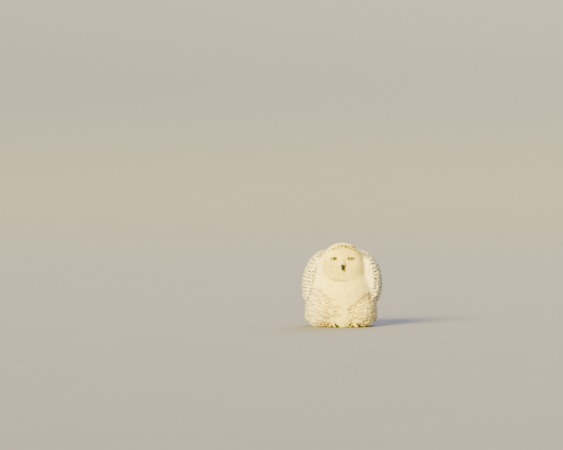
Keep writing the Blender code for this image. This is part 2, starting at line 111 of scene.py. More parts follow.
def ramp(value, low, high):
    """0 below low, 1 above high, and a smooth rise between them. It falls where high is the lower."""
    t = np.clip((value - low) / (high - low), 0.0, 1.0)
    return t * t * (3 - 2 * t)


def unit(vectors):
    return vectors / np.maximum(np.linalg.norm(vectors, axis=-1, keepdims=True), 1e-12)


def dot(a, b):
    return (a * b).sum(-1)


def table(*columns):
    """One row for each item, from columns of numbers or numbers that all rows share."""
    return np.stack(np.broadcast_arrays(*columns), -1)


def parted(points):
    """How far points are to the side of the owl's middle, and their y and z."""
    return points[:, 0] - MID_X, points[:, 1], points[:, 2]


# ---------------------------------------------------------------- meshes and objects


def read(sequence, field, width, kind=float):
    values = np.empty(len(sequence) * width, kind)
    sequence.foreach_get(field, values)
    return values.reshape(-1, width) if width > 1 else values


def set_places(mesh, places):
    mesh.vertices.foreach_set("co", places.astype(np.float32).ravel())


def add_layer(mesh, name, values):
    """Gives each vertex four numbers that materials read."""
    layer = mesh.attributes.new(name, "FLOAT_COLOR", "POINT")
    layer.data.foreach_set("color", values.astype(np.float32).ravel())


def placed(name, data):
    obj = bpy.data.objects.new(name, data)
    bpy.context.scene.collection.objects.link(obj)
    return obj


def object_from(bm, name):
    mesh = bpy.data.meshes.new(name)
    for face in bm.faces:
        face.smooth = True
    bm.to_mesh(mesh)
    bm.free()
    return placed(name, mesh)


def bake_modifiers(obj):
    """Puts what the modifiers make into the object's own mesh."""
    bpy.context.view_layer.update()
    graph = bpy.context.evaluated_depsgraph_get()
    mesh = bpy.data.meshes.new_from_object(obj.evaluated_get(graph))
    obj.modifiers.clear()
    obj.data = mesh
    return obj


def smooth(obj, rounds, weights=None):
    """Smooths a mesh, all of it or by as much as each vertex's weight."""
    modifier = obj.modifiers.new("smooth", "SMOOTH")
    modifier.factor = 0.5
    modifier.iterations = rounds
    if weights is not None:
        group = obj.vertex_groups.new(name="pressed")
        for i in np.flatnonzero(weights > 0.02):
            group.add([int(i)], float(weights[i]), "REPLACE")
        modifier.vertex_group = group.name


def finish_piece(obj, look):
    obj.data.materials.clear()
    obj.data.materials.append(look)
    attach(obj, "root")
    return obj


# ---------------------------------------------------------------- the form round the flesh

VOXEL = 0.0026
TOE_VOXEL = 0.0013
SEAM = 0.0005  # how far the form ends up outside the solids, so that neighbours run together
CLOSING = 0.0050  # flesh is swollen by this before it is fused and drawn back, which fills narrow creases
THIN_SWELL = 0.0012  # the same for the flight feathers and for the toes, which stay apart
PRESSED_ROUNDS = 60
BODY_DEPTH = 0.0110  # how deep the coat is on the body, and then on the other parts
PART_DEPTHS = {"wing": 0.0075, "primaries": 0.0012, "tail": 0.0012, "foot": 0.0030}
FACE_DISTANCES, FACE_DEPTHS = (0.02, 0.06, 0.09), (0.0022, 0.0034, 0.0065)  # on the head, from the face out


def swell_of(node):
    return THIN_SWELL if node in FLIGHTS + FEET else CLOSING


def welded(nodes, swollen=False):
    """The nodes' meshes in one bmesh, each closed again after its import."""
    bm = bmesh.new()
    for node in nodes:
        part = bmesh.new()
        part.from_mesh(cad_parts[node].data)
        bmesh.ops.remove_doubles(part, verts=part.verts, dist=1e-5)
        part.normal_update()
        for vert in part.verts:
            vert.co += vert.normal * (swell_of(node) if swollen else 0.0)
        mesh = bpy.data.meshes.new(node)
        part.to_mesh(mesh)
        part.free()
        bm.from_mesh(mesh)
    return bm


def pressed(points):
    """Where a fused form is smoothed most: at the bill's root, under the face, and between the wings."""
    side, y, z = parted(points)
    away = face_distance(points)
    at_bill = ramp(np.linalg.norm(points - BILL_ROOT, axis=1), 0.026, 0.014)
    under_face = ramp(away, 0.055, 0.070) * ramp(away, 0.110, 0.090) * ramp(z, EYE_Z - 0.015, EYE_Z - 0.040)
    at_back = ramp(np.abs(side), 0.080, 0.055) * ramp(y, -0.03, 0.02)
    at_back *= ramp(y, WING_BACK_Y + 0.020, WING_BACK_Y - 0.005) * ramp(z, 0.050, 0.080)
    return np.max([at_bill, at_back, under_face], axis=0)


def fused(name, nodes, voxel=VOXEL):
    """One closed, smoothed mesh round all these nodes, with the narrow creases between them filled."""
    obj = object_from(welded(nodes, swollen=True), name)
    remesh = obj.modifiers.new("remesh", "REMESH")
    remesh.mode = "VOXEL"
    remesh.voxel_size = voxel
    smooth(obj, 4)
    bake_modifiers(obj)
    form = Form(obj.data, nodes)
    swell = np.array([swell_of(node) for node in nodes])[form.node]
    drawn_back = form.co - form.normal * (form.spread(swell, 3) - SEAM)
    set_places(obj.data, drawn_back)
    weights = pressed(drawn_back)
    if voxel == VOXEL:
        sharp = ramp(form.flatness(10), 0.95, 0.85)
        weights = np.maximum(weights, 0.3 * sharp)
    smooth(obj, PRESSED_ROUNDS, weights)
    smooth(obj, 5)
    return bake_modifiers(obj)


def polygons_of(node):
    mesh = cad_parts[node].data
    return [v.co[:] for v in mesh.vertices], [list(polygon.vertices) for polygon in mesh.polygons]


class Form:
    """A closed mesh round some of the nodes, and what skin and coat need to know at each vertex."""

    def __init__(self, mesh, nodes):
        self.nodes = nodes
        self.co = read(mesh.vertices, "co", 3)
        self.normal = read(mesh.vertices, "normal", 3)
        self.edges = read(mesh.edges, "vertices", 2, np.int32)
        mesh.calc_loop_triangles()
        self.triangles = read(mesh.loop_triangles, "vertices", 3, np.int32)
        self.count = len(self.co)
        self.degree = np.maximum(np.bincount(self.edges.ravel(), minlength=self.count), 1)
        self.node = self.nearest_nodes()

    def dress(self):
        """Finds the lie and the depth of the coat, and makes the form quick to search."""
        self.tree = KDTree(self.count)
        for i, point in enumerate(self.co.tolist()):
            self.tree.insert(point, i)
        self.tree.balance()
        self.surface = BVHTree.FromPolygons(self.co.tolist(), self.triangles.tolist())
        self.flow = self.lie()
        self.depth = self.coat_depth()
        self.flat = self.flatness(16)
        return self

    def nearest(self, points):
        find = self.tree.find
        return np.array([find(p)[1] for p in points.tolist()], int)

    def spread(self, values, rounds):
        """Averages values with those of the vertices next door."""
        a, b = self.edges.T
        values = values.reshape(self.count, -1)
        for _ in range(rounds):
            total = np.empty_like(values)
            for k in range(values.shape[1]):
                total[:, k] = np.bincount(a, values[b, k], self.count)
                total[:, k] += np.bincount(b, values[a, k], self.count)
            values = 0.5 * values + 0.5 * total / self.degree[:, None]
        return values

    def flatness(self, rounds):
        """1 where the form is flat, and less where it bends sharply."""
        return np.linalg.norm(self.spread(self.normal, rounds), axis=1)

    def nearest_nodes(self):
        """For each vertex, the place in the list of nodes of the CAD node that is nearest to it."""
        vertices, faces, owner = [], [], []
        for k, name in enumerate(self.nodes):
            some_vertices, some_faces = polygons_of(name)
            faces += [[len(vertices) + i for i in face] for face in some_faces]
            vertices += some_vertices
            owner += [k] * len(some_faces)
        tree = BVHTree.FromPolygons(vertices, faces)
        return np.array([owner[tree.find_nearest(p)[2]] for p in self.co.tolist()])

    def on(self, *names):
        """Which vertices belong to these nodes, or to these parts on either side."""
        wanted = [k for k, name in enumerate(self.nodes) if name in names or name.split("_")[0] in names]
        return np.isin(self.node, wanted)

    def grown(self, mask, rings):
        """The mask, and the vertices within so many edges of it."""
        a, b = self.edges.T
        for _ in range(rings):
            reached = mask.copy()
            reached[a] |= mask[b]
            reached[b] |= mask[a]
            mask = reached
        return mask

    def lie(self):
        """The way the feathers point at each vertex, as a unit tangent."""
        flow = np.zeros_like(self.co)
        for parts, way in (
            (("head",), head_lie),
            (BODY, body_lie),
            (("wing", "primaries"), wing_lie),
            (("tail",), tail_lie),
            (("foot",), foot_lie),
        ):
            mask = self.on(*parts)
            flow[mask] = way(self.co[mask])
        for _ in range(12):
            flow -= self.normal * dot(flow, self.normal)[:, None]
            flow = self.spread(unit(flow), 1)
        flow -= self.normal * dot(flow, self.normal)[:, None]
        return unit(flow)

    def coat_depth(self):
        """How far the skin lies inside the form."""
        depth = np.full(self.count, BODY_DEPTH)
        for part, deep in PART_DEPTHS.items():
            depth[self.on(part)] = deep
        head = self.on("head")
        depth[head] = np.interp(face_distance(self.co)[head], FACE_DISTANCES, FACE_DEPTHS)
        return self.spread(np.minimum(depth, 0.3 * self.thickness()), 14)[:, 0]

    def thickness(self):
        """How far it is through the form, straight in from each vertex."""
        starts = (self.co - self.normal * 1e-4).tolist()
        hits = [self.surface.ray_cast(p, way)[3] for p, way in zip(starts, (-self.normal).tolist())]
        return np.array([0.2 if hit is None else hit for hit in hits])


def face_distance(points):
    """How far points are from the middle of the face, in a view from the front."""
    side, y, z = parted(points)
    return np.sqrt(side**2 + (z - (BILL_HIGH[2] - 0.006)) ** 2 + np.maximum(y - EYE_FRONT_Y, 0) ** 2)


def head_lie(points):
    """Out from the bill and both eyes, and on over the crown to the nape."""
    flow = np.zeros_like(points)
    for source, weight in ((EYES["left"], 1.0), (EYES["right"], 1.0), (BILL_ROOT, 1.3)):
        away = points - source
        flow += weight * away / np.maximum(dot(away, away), 1e-6)[:, None]
    behind = ramp(points[:, 1], EYE_FRONT_Y + 0.06, EYE_FRONT_Y + 0.12)
    return unit(flow) + table(0.0, 0.5 * behind, -0.9 * behind)


def outward_slope(points):
    """How steeply the belly's rows of feathers rise from the middle to the side."""
    side, _, z = parted(points)
    upper = ramp(z, 0.060, 0.110) * ramp(z, 0.215, 0.170)
    slope = np.sign(side) * ramp(np.abs(side), 0.004, 0.045) * (0.10 + 0.56 * upper)
    lobe = np.clip((np.abs(side) - 0.068) / 0.05, -1, 1) * np.sign(side)
    return slope + 0.30 * lobe * ramp(z, 0.085, 0.050)


def body_lie(points):
    """Down the breast and belly and outwards, back along the flanks, and along the back to the tail."""
    _, y, z = parted(points)
    back = 1.5 * ramp(y, BELLY_FRONT_Y + 0.07, BELLY_FRONT_Y + 0.20)
    back += 0.6 * ramp(z, 0.030, 0.0)
    front = ramp(y, BELLY_FRONT_Y + 0.15, BELLY_FRONT_Y + 0.07)
    down = table(outward_slope(points) * front, back, -1.0)
    rear = ramp(y, BELLY_FRONT_Y + 0.14, BELLY_FRONT_Y + 0.22)[:, None]
    return unit(down) * (1 - rear) + unit(TAIL_ROOT - points) * rear


def wing_lie(points):
    """Down over the bend of the wing, then towards its tip."""
    side = np.sign(points[:, 0])
    tip = table(side * 0.02, WING_TIP_Y, 0.05)
    down = table(side * 0.12, 0.15, -1.0)
    front = ramp(points[:, 1], WING_FRONT_Y + 0.16, WING_FRONT_Y + 0.03)[:, None]
    return unit(tip - points) * (1 - front) + down * front * 1.3


def tail_lie(points):
    """Straight back along the tail, and a little outwards."""
    return table(0.6 * (points[:, 0] - MID_X), 1.0, 0.0)


def foot_lie(points):
    """Out along the toes."""
    flow = np.zeros_like(points)
    for side, sign in SIDES.items():
        low, high = corners(f"foot_{side}")
        mine = np.sign(points[:, 0]) == sign
        ankle = np.array([(low[0] + high[0]) / 2, high[1] - 0.022, 0.02])
        flow[mine] = points[mine] - ankle
    flow[:, 2] = -0.5 * np.linalg.norm(flow, axis=1)
    return flow


def bare_form(name, nodes, voxel):
    """The form that one part of the coat lies on. Its own mesh isn't kept."""
    shell = fused(name, nodes, voxel)
    form = Form(shell.data, nodes).dress()
    bpy.data.objects.remove(shell)
    return form


# ---------------------------------------------------------------- marks, for skin and coat alike


def belly_line(points):
    """How far points are below the line on the belly where the bars begin."""
    side, _, z = parted(points)
    line = np.where(side < 0, 0.088 + 0.66 * np.abs(side), 0.062 + 0.745 * np.abs(side))
    return np.minimum(line, 0.165) - z


def belly_marks(points):
    """How strong the bars are on breast, belly, thighs and flanks."""
    side, _, z = parted(points)
    strip = 0.55 * (z - 0.060) + 0.002
    plain_strip = ramp(np.abs(side - strip), 0.010, 0.024)
    return ramp(belly_line(points), -0.004, 0.010) * plain_strip * ramp(z, 0.004, 0.020)


SPOT_ROW = 0.0105  # between the rows of spots over the crown and nape
SPOT_GAP = 0.0072  # between the spots of one row
SPOT_LONG, SPOT_TALL = 0.0029, 0.0022  # half a spot's size
SPOTS_MISSING = 0.18  # the share of places without a spot


def hashed(numbers):
    """A number from 0 to 1 that seems random but always stands for the same cell."""
    return np.modf(np.abs(np.sin(numbers * 12.9898) * 43758.5453))[0]


def row_of_spots(along, across, row):
    """Small bars side by side: along runs over the row, across over its width, from 0 at its middle."""
    cell = np.floor(along / SPOT_GAP)
    chance = hashed(cell + 31.7 * row)
    off = (along / SPOT_GAP - cell - 0.5 - 0.3 * (chance - 0.5)) * SPOT_GAP
    shift = 0.0028 * (hashed(cell + 7.3 * row + 0.5) - 0.5)
    size = 0.7 + 0.6 * chance
    spot = ramp((off / SPOT_LONG) ** 2 + ((across - shift) / SPOT_TALL) ** 2, 1.5 * size, 0.6 * size)
    return spot * (chance > SPOTS_MISSING)


def crown_marks(points):
    """An arc of spots along the front of the crown, a plain rim above it, and more spots behind."""
    side, y, z = parted(points)
    back = y - HEAD_MIDDLE[1]
    over_brow = z - (HEAD_TOP_Z - 0.0125 - 4.6 * side**2)
    wide = ramp(np.abs(side), 0.062, 0.054)
    second = 0.8 * row_of_spots(side + 0.003, over_brow - 0.0058, 2.0) * wide * (side > -0.02)
    arc = np.maximum(row_of_spots(side, over_brow, 0.0) * wide, second)
    row = np.floor(back / SPOT_ROW)
    behind = row_of_spots(side, back - (row + 0.5) * SPOT_ROW, row) * ramp(back, 0.0, 0.012)
    return np.where(back < 0.004, arc, behind * ramp(z, EYE_Z - 0.045, EYE_Z - 0.03))


def wing_marks(points):
    """The spots on the wing, which leave its front edge plain beside the breast."""
    side, y, _ = parted(points)
    front_edge = ramp(y, WING_FRONT_Y + 0.040, WING_FRONT_Y + 0.018)
    return 1.0 - 0.95 * front_edge * ramp(np.abs(side), 0.114, 0.102)


def marks(form, index, points):
    """Strength and darkness of the mark on a feather, by the part that it grows on."""
    _, y, z = parted(points)
    behind = ramp(y, BELLY_FRONT_Y + 0.13, BELLY_FRONT_Y + 0.19)
    top = ramp(z, 0.05, 0.10)
    back_marks = 0.30 + 0.5 * ramp(z, 0.10, 0.2)
    strength, darkness = np.zeros((2, len(points)))
    for names, of_part, dark in (
        (BODY, np.maximum(belly_marks(points), back_marks * behind * top), 0.25),
        (("head",), crown_marks(points), 1.0),
        (("wing", "primaries"), wing_marks(points), 0.95),
    ):
        mask = form.on(*names)[index]
        strength[mask] = of_part[mask]
        darkness[mask] = dark
    return strength, np.maximum(darkness, 0.9 * behind * top)


def cream_and_painted_warm_light(points):
    """How cream the white is: most on face and breast, least on wings and back. The cream is partly the
    plumage's own tint and partly painted warm light on the front, which faces the warm key sun.
    """
    side, y, _ = parted(points)
    front = ramp(y, BELLY_FRONT_Y + 0.13, BELLY_FRONT_Y + 0.02)
    return 0.15 + 0.85 * front * ramp(np.abs(side), 0.13, 0.03)


# ---------------------------------------------------------------- where feathers grow


def potential(form, mask, field, rounds=320):
    """Over the masked vertices, the heights whose slope comes nearest to field (conjugate gradients)."""
    a, b = form.edges[mask[form.edges].all(1)].T
    want = dot((field[a] + field[b]) / 2, form.co[b] - form.co[a])

    def gathered(pull):
        return np.bincount(a, pull, form.count) - np.bincount(b, pull, form.count)

    heights = np.zeros(form.count)
    rest = -gathered(want)
    step = rest.copy()
    size = rest @ rest
    for _ in range(rounds):
        pulled = gathered(step[a] - step[b])
        share = size / max(step @ pulled, 1e-20)
        heights += share * step
        rest -= share * pulled
        new_size = rest @ rest
        step = rest + new_size / max(size, 1e-30) * step
        size = new_size
    return heights


def lattice(form, mask, row, column):
    """Roots in rows across the lie of the coat, each row set half a feather along from the one before."""
    chosen = np.flatnonzero(mask)
    r = potential(form, mask, form.flow)[chosen] / row
    line = np.floor(r)
    c = potential(form, mask, np.cross(form.normal, form.flow))[chosen] / column + 0.5 * (line % 2)
    place = np.floor(c)
    off = np.hypot(r - line - 0.5, c - place - 0.5)
    key = line * 100003 + place
    order = np.lexsort((off, key))
    kept = order[np.unique(key[order], return_index=True)[1]]
    kept = kept[off[kept] < 0.45]
    index = chosen[kept]
    slip = (line[kept] + 0.5 - r[kept]) * row
    return form.co[index] + form.flow[index] * slip[:, None]


def scatter(form, mask, spacing, tries):
    """Roots spread at random, no two nearer than spacing, which is given for each vertex."""
    faces = form.triangles[mask[form.triangles].all(1)]
    a, b, c = (form.co[faces[:, k]] for k in range(3))
    area = np.linalg.norm(np.cross(b - a, c - a), axis=1) / 2
    local = spacing[faces[:, 0]]
    chance = area / local**2
    count = int(tries * chance.sum())
    pick = rng.choice(len(faces), count, p=chance / chance.sum())
    s, t = rng.random((2, count))
    flip = s + t > 1
    s, t = np.where(flip, 1 - s, s), np.where(flip, 1 - t, t)
    points = a[pick] + (b - a)[pick] * s[:, None] + (c - a)[pick] * t[:, None]
    cell = float(spacing[mask].max())
    near_by = [(i, j, k) for i in (-1, 0, 1) for j in (-1, 0, 1) for k in (-1, 0, 1)]
    taken, kept = {}, []
    for i, (p, reach) in enumerate(zip(points.tolist(), local[pick].tolist())):
        x, y, z = (math.floor(k / cell) for k in p)
        others = (q for u, v, w in near_by for q in taken.get((x + u, y + v, z + w), ()))
        if all(math.dist(p, q) >= reach for q in others):
            taken.setdefault((x, y, z), []).append(p)
            kept.append(i)
    return points[kept]


# ---------------------------------------------------------------- feathers

FLOOR_GAP = 0.0006  # how near the floor the coat may come
UNDERLAP = 7  # edges by which the roots of one part's feathers run on under the next part's

# Rows and columns of faces, share of the width at the root, how round the tip is, depth of its fringe,
# cupping, share of the coat's depth at the root, curl of the tip, and softness of the shading.
STYLE_FIELDS = ("rows", "columns", "root", "round", "fringe", "cup", "sunk", "curl", "soft")
STYLES = {
    "firm": (7, 10, 0.50, 0.40, 0.03, 0.5, 0.85, 0.01, 0.3),
    "loose": (6, 28, 0.45, 0.40, 0.085, 0.4, 0.85, 0.02, 0.75),
    "tuft": (5, 6, 0.45, 0.45, 0.13, 1.0, 0.8, 0.02, 0.75),
    "wisp": (4, 2, 0.60, 0.65, 0.10, 1.0, 0.8, 0.02, 0.9),
    "strand": (5, 1, 1.00, 0.0, 0.0, 0.0, 0.6, 0.03, 0.8),
    "flight": (22, 10, 0.75, 0.13, 0.004, 0.4, 0.5, 0.0, 0.2),
}


def eased(values):
    """Values averaged with those before and after them on each line, more often on lines of many rows."""
    for _ in range(values.shape[1] // 5):
        inner = (values[:, :-2] + 2 * values[:, 1:-1] + values[:, 2:]) / 4
        values = np.concatenate([values[:, :1], inner, values[:, -1:]], 1)
    return values


def walk(form, start, length, rows, turn, cling):
    """Centre lines over the form, from start along the lie of the coat.

    Where cling is 1 a line keeps to the form, and where it is less the line hangs straighter.
    """
    at = start.copy()
    index = form.nearest(at)
    heading, normal = form.flow[index], form.normal[index]
    cling = np.broadcast_to(cling, len(start))[:, None]
    cos, sin = np.cos(turn)[:, None], np.sin(turn)[:, None]
    lines = {"place": [], "normal": [], "way": [], "depth": []}
    for _ in range(rows + 1):
        index = form.nearest(at)
        ground = form.normal[index]
        normal = unit(cling * ground + (1 - cling) * normal)
        at = at - ground * cling * dot(at - form.co[index], ground)[:, None]
        way = form.flow[index] * cos + np.cross(ground, form.flow[index]) * sin
        way = 0.5 * cling * way + (1 - 0.5 * cling) * heading
        heading = unit(way - normal * dot(way, normal)[:, None])
        for name, value in zip(lines, (at, normal, heading, form.depth[index])):
            lines[name].append(value)
        at = at + heading * (length / rows)[:, None]
    return {name: eased(np.stack(values, 1)) for name, values in lines.items()}


def vanes(form, start, style, length, width, lift=0.0, turn=0.10, even=False, cling=1.0):
    """Grids of vertices for feathers that start at these roots, with the walk that each one follows."""
    look = dict(zip(STYLE_FIELDS, STYLES[style]))
    count, rows, columns = len(start), look["rows"], look["columns"]
    vary = 0.0 if even else 0.1
    length = np.broadcast_to(length, count) * rng.uniform(1 - vary, 1 + vary, count)
    narrow = np.ones(count) if even else np.interp(form.flat[form.nearest(start)], [0.86, 0.975], [0.6, 1.0])
    width = np.broadcast_to(width, count) * narrow * rng.uniform(1 - vary, 1 + vary, count)
    line = walk(form, start, length, rows, rng.normal(0, turn, count), cling)
    s = np.linspace(0, 1, rows + 1)[None, :, None]
    u = np.linspace(-1, 1, columns + 1)[None, None, :]
    half = width[:, None, None] / 2 * (look["root"] + (1 - look["root"]) * ramp(s, 0.0, 0.5))
    rounded = look["round"] * (1 - np.sqrt(1 - (0.99 * u) ** 2))
    every_other = (np.arange(columns + 1) % 2)[None, None, :]
    fringe = look["fringe"] * (0.55 * every_other + 0.6 * rng.random((count, 1, columns + 1)))
    back = length[:, None, None] * (s**2 * rounded + s**5 * fringe)
    if columns == 1:
        half = half * (1 - 0.8 * s)
    sunk = line["depth"][:, :, None] * look["sunk"] * (1 - ramp(s, -0.25, 0.9))
    roll = rng.normal(0, 0.4 * vary, (count, 1, 1)) * u * half
    curl = look["curl"] * rng.normal(0.3, 0.6, (count, 1, 1)) * s**3 * length[:, None, None]
    layer = rng.normal(0, 0.003 * vary, (count, 1, 1))
    cup = look["cup"] * (1 + 3 * (1 - narrow))[:, None, None] * (u * half) ** 2 / 0.05
    height = roll + curl + layer + np.broadcast_to(lift, count)[:, None, None] * s**2 - sunk - cup
    place, normal, way = (line[name][:, :, None, :] for name in ("place", "normal", "way"))
    co = place + np.cross(normal, way) * (u * half)[..., None] - way * back[..., None]
    if columns > 2:
        co -= wrap(form, co, normal) * np.broadcast_to(cling, count)[:, None, None, None]
    co += normal * height[..., None]
    co[..., 2] = np.maximum(co[..., 2], FLOOR_GAP)
    return {"co": co, "line": line, "soft": look["soft"]}


def wrap(form, co, outward):
    """How far each vane's sides are above the form, beyond its middle, as vectors."""
    index = form.nearest(co.reshape(-1, 3)).reshape(co.shape[:3])
    ground = form.normal[index]
    gap = dot(co - form.co[index], ground)
    middle_column = co.shape[2] // 2
    gap = np.clip(gap - gap[:, :, middle_column:middle_column + 1], -0.006, 0.012)
    bendable = ramp(dot(ground, outward), 0.1, 0.5) * ramp(form.flat[index], 0.55, 0.85)
    return eased(ground * (0.85 * gap * bendable)[..., None])


def grid_normals(co, outward, soft):
    """The vanes' own normals, softened towards the body's but never turned away from their own side."""
    own = unit(np.cross(np.gradient(co, axis=1), np.gradient(co, axis=2)))
    outward = np.broadcast_to(outward, co.shape)
    lean = np.clip(dot(own, outward), 0, 1)[..., None] * soft
    return unit((1 - lean) * own + lean * outward)


def mesh_of_grids(name, grids, layers, uvs, normals):
    """A joined mesh of many grids of one size, with its attributes and maps."""
    index = np.arange(grids[..., 0].size).reshape(grids.shape[:3])
    quads = np.stack([index[:, :-1, :-1], index[:, 1:, :-1], index[:, 1:, 1:], index[:, :-1, 1:]], -1)
    quads = quads.reshape(-1, 4)
    mesh = bpy.data.meshes.new(name)
    mesh.vertices.add(index.size)
    set_places(mesh, grids)
    mesh.loops.add(quads.size)
    mesh.loops.foreach_set("vertex_index", quads.astype(np.int32).ravel())
    mesh.polygons.add(len(quads))
    mesh.polygons.foreach_set("loop_start", np.arange(0, quads.size, 4, dtype=np.int32))
    mesh.polygons.foreach_set("use_smooth", np.ones(len(quads), bool))
    mesh.update(calc_edges=True)
    for layer, values in layers.items():
        add_layer(mesh, layer, np.broadcast_to(values[:, None, None, :], grids.shape[:3] + (4,)))
    for layer, values in uvs.items():
        made = mesh.uv_layers.new(name=layer)
        made.data.foreach_set("uv", values.reshape(-1, 2)[quads.ravel()].astype(np.float32).ravel())
    mesh.normals_split_custom_set_from_vertices(normals.reshape(-1, 3).astype(np.float32))
    return placed(name, mesh)


PATCH = 0.003  # the width of one tuft's patch on the OFBake map


def unwrap(points, centre):
    """Each root's place on an unwrap of the skin: its bearing and its height, seen from inside the body."""
    x, y, z = (points - centre).T
    flat = table(np.arctan2(x, -y), np.arctan2(z, np.hypot(x, y)))
    low, high = flat.min(0), flat.max(0)
    return 0.02 + 0.96 * (flat - low) / (high - low)


def coat(name, made, look, marking, tone, centre=BODY_MIDDLE):
    """Joins vanes into one piece of the coat. marking and tone hold four numbers for each feather.

    Tufts lie on the bake map where their roots do, seen from the centre. Long feathers, which come
    without a centre, get a column of the map each.
    """
    co, line = made["co"], made["line"]
    count, rows, columns = co.shape[:3]
    u, v = np.linspace(0, 1, columns)[None, None, :], np.linspace(0, 1, rows)[None, :, None]
    patch = np.broadcast_to(table(u, v), (count, rows, columns, 2))
    if centre is None:
        spot = table((np.arange(count)[:, None, None] + 0.1 + 0.8 * u) / count, 0.02 + 0.96 * v)
    else:
        spot = unwrap(line["place"][:, 0], centre)[:, None, None, :] + (patch - 0.5) * PATCH
    layers = {"marking": marking, "tone": tone}
    normals = grid_normals(co, line["normal"][:, :, None, :], made["soft"])
    obj = mesh_of_grids(name, co, layers, {"vane": patch, "OFBake": spot}, normals)
    return finish_piece(obj, look)


# ---------------------------------------------------------------- materials


class Nodes:
    """A material's node tree, built by short calls that each give a socket."""

    def __init__(self, name):
        self.material = bpy.data.materials.new(name)
        self.material.use_nodes = True
        self.tree = self.material.node_tree
        self.shader = self.tree.nodes["Principled BSDF"]

    def node(self, kind, inputs=(), **settings):
        made = self.tree.nodes.new("ShaderNode" + kind)
        for name, value in settings.items():
            setattr(made, name, value)
        for key, value in dict(inputs).items():
            self.put(made.inputs[key], value)
        return made

    def put(self, socket, value):
        if isinstance(value, bpy.types.NodeSocket):
            self.tree.links.new(value, socket)
        else:
            socket.default_value = value

    def surface(self, **values):
        """Sets the shader's sockets, which are named with _ for each space."""
        for name, value in values.items():
            self.put(self.shader.inputs[name.replace("_", " ")], value)

    def math(self, operation, *values):
        return self.node("Math", dict(enumerate(values)), operation=operation).outputs[0]

    def line(self, value, factor, offset):
        """value * factor + offset."""
        return self.math("MULTIPLY_ADD", value, factor, offset)

    def step(self, value, low, high):
        """A smooth step from 0 to 1, or from 1 to 0 where high is the lower."""
        if high < low:
            return self.math("SUBTRACT", 1.0, self.step(value, high, low))
        inputs = {"Value": value, "From Min": low, "From Max": high}
        return self.node("MapRange", inputs, interpolation_type="SMOOTHSTEP").outputs["Result"]

    def mix(self, share, first, second):
        inputs = {"Factor": share, "A": first, "B": second}
        made = self.node("Mix", data_type="RGBA")
        for key, value in inputs.items():
            self.put(made.inputs[key], value)
        return made.outputs["Result"]

    def place(self):
        return self.node("TexCoord").outputs["Object"]

    def noise(self, scale, detail=3.0, vector=None):
        inputs = {"Scale": scale, "Detail": detail, "Vector": vector or self.place()}
        return self.node("TexNoise", inputs).outputs["Fac"]

    def attribute(self, name):
        made = self.node("Attribute", attribute_name=name, attribute_type="GEOMETRY")
        parts = self.node("SeparateColor", {"Color": made.outputs["Color"]})
        return [parts.outputs[k] for k in range(3)] + [made.outputs["Alpha"]]

    def bump(self, height, strength, distance):
        made = self.node("Bump", {"Height": height, "Strength": strength, "Distance": distance})
        self.surface(Normal=made.outputs["Normal"])


def colour(red, green, blue):
    return (red, green, blue, 1.0)


FEATHER_WHITE = colour(0.95, 0.89, 0.70)
# The cream is partly the plumage's own tint and partly painted warm sunlight, and the front of the owl
# carries the most of it.
CREAM_AND_PAINTED_WARM_LIGHT = colour(0.98, 0.85, 0.22)
BAR_BROWN = colour(0.42, 0.225, 0.02)
SPOT_BROWN = colour(0.012, 0.007, 0.005)
HORN, WORN_HORN = colour(0.004, 0.004, 0.004), colour(0.022, 0.019, 0.017)
PUPIL, EYE_EDGE = colour(0.003, 0.003, 0.003), colour(0.10, 0.045, 0.01)
IRIS, IRIS_SPOKE, IRIS_MIDDLE = colour(0.25, 0.19, 0.0), colour(0.34, 0.27, 0.0), colour(0.30, 0.17, 0.0)
# The bowl's colour is darker and bluer than the floor's. It is painted shade that evens out the stronger
# warm key light on its wall.
FLOOR, FLOOR_PATCH, BOWL_PAINTED_SHADE = colour(0.24, 0.238, 0.275), colour(0.26, 0.258, 0.295), colour(0.15, 0.168, 0.29)


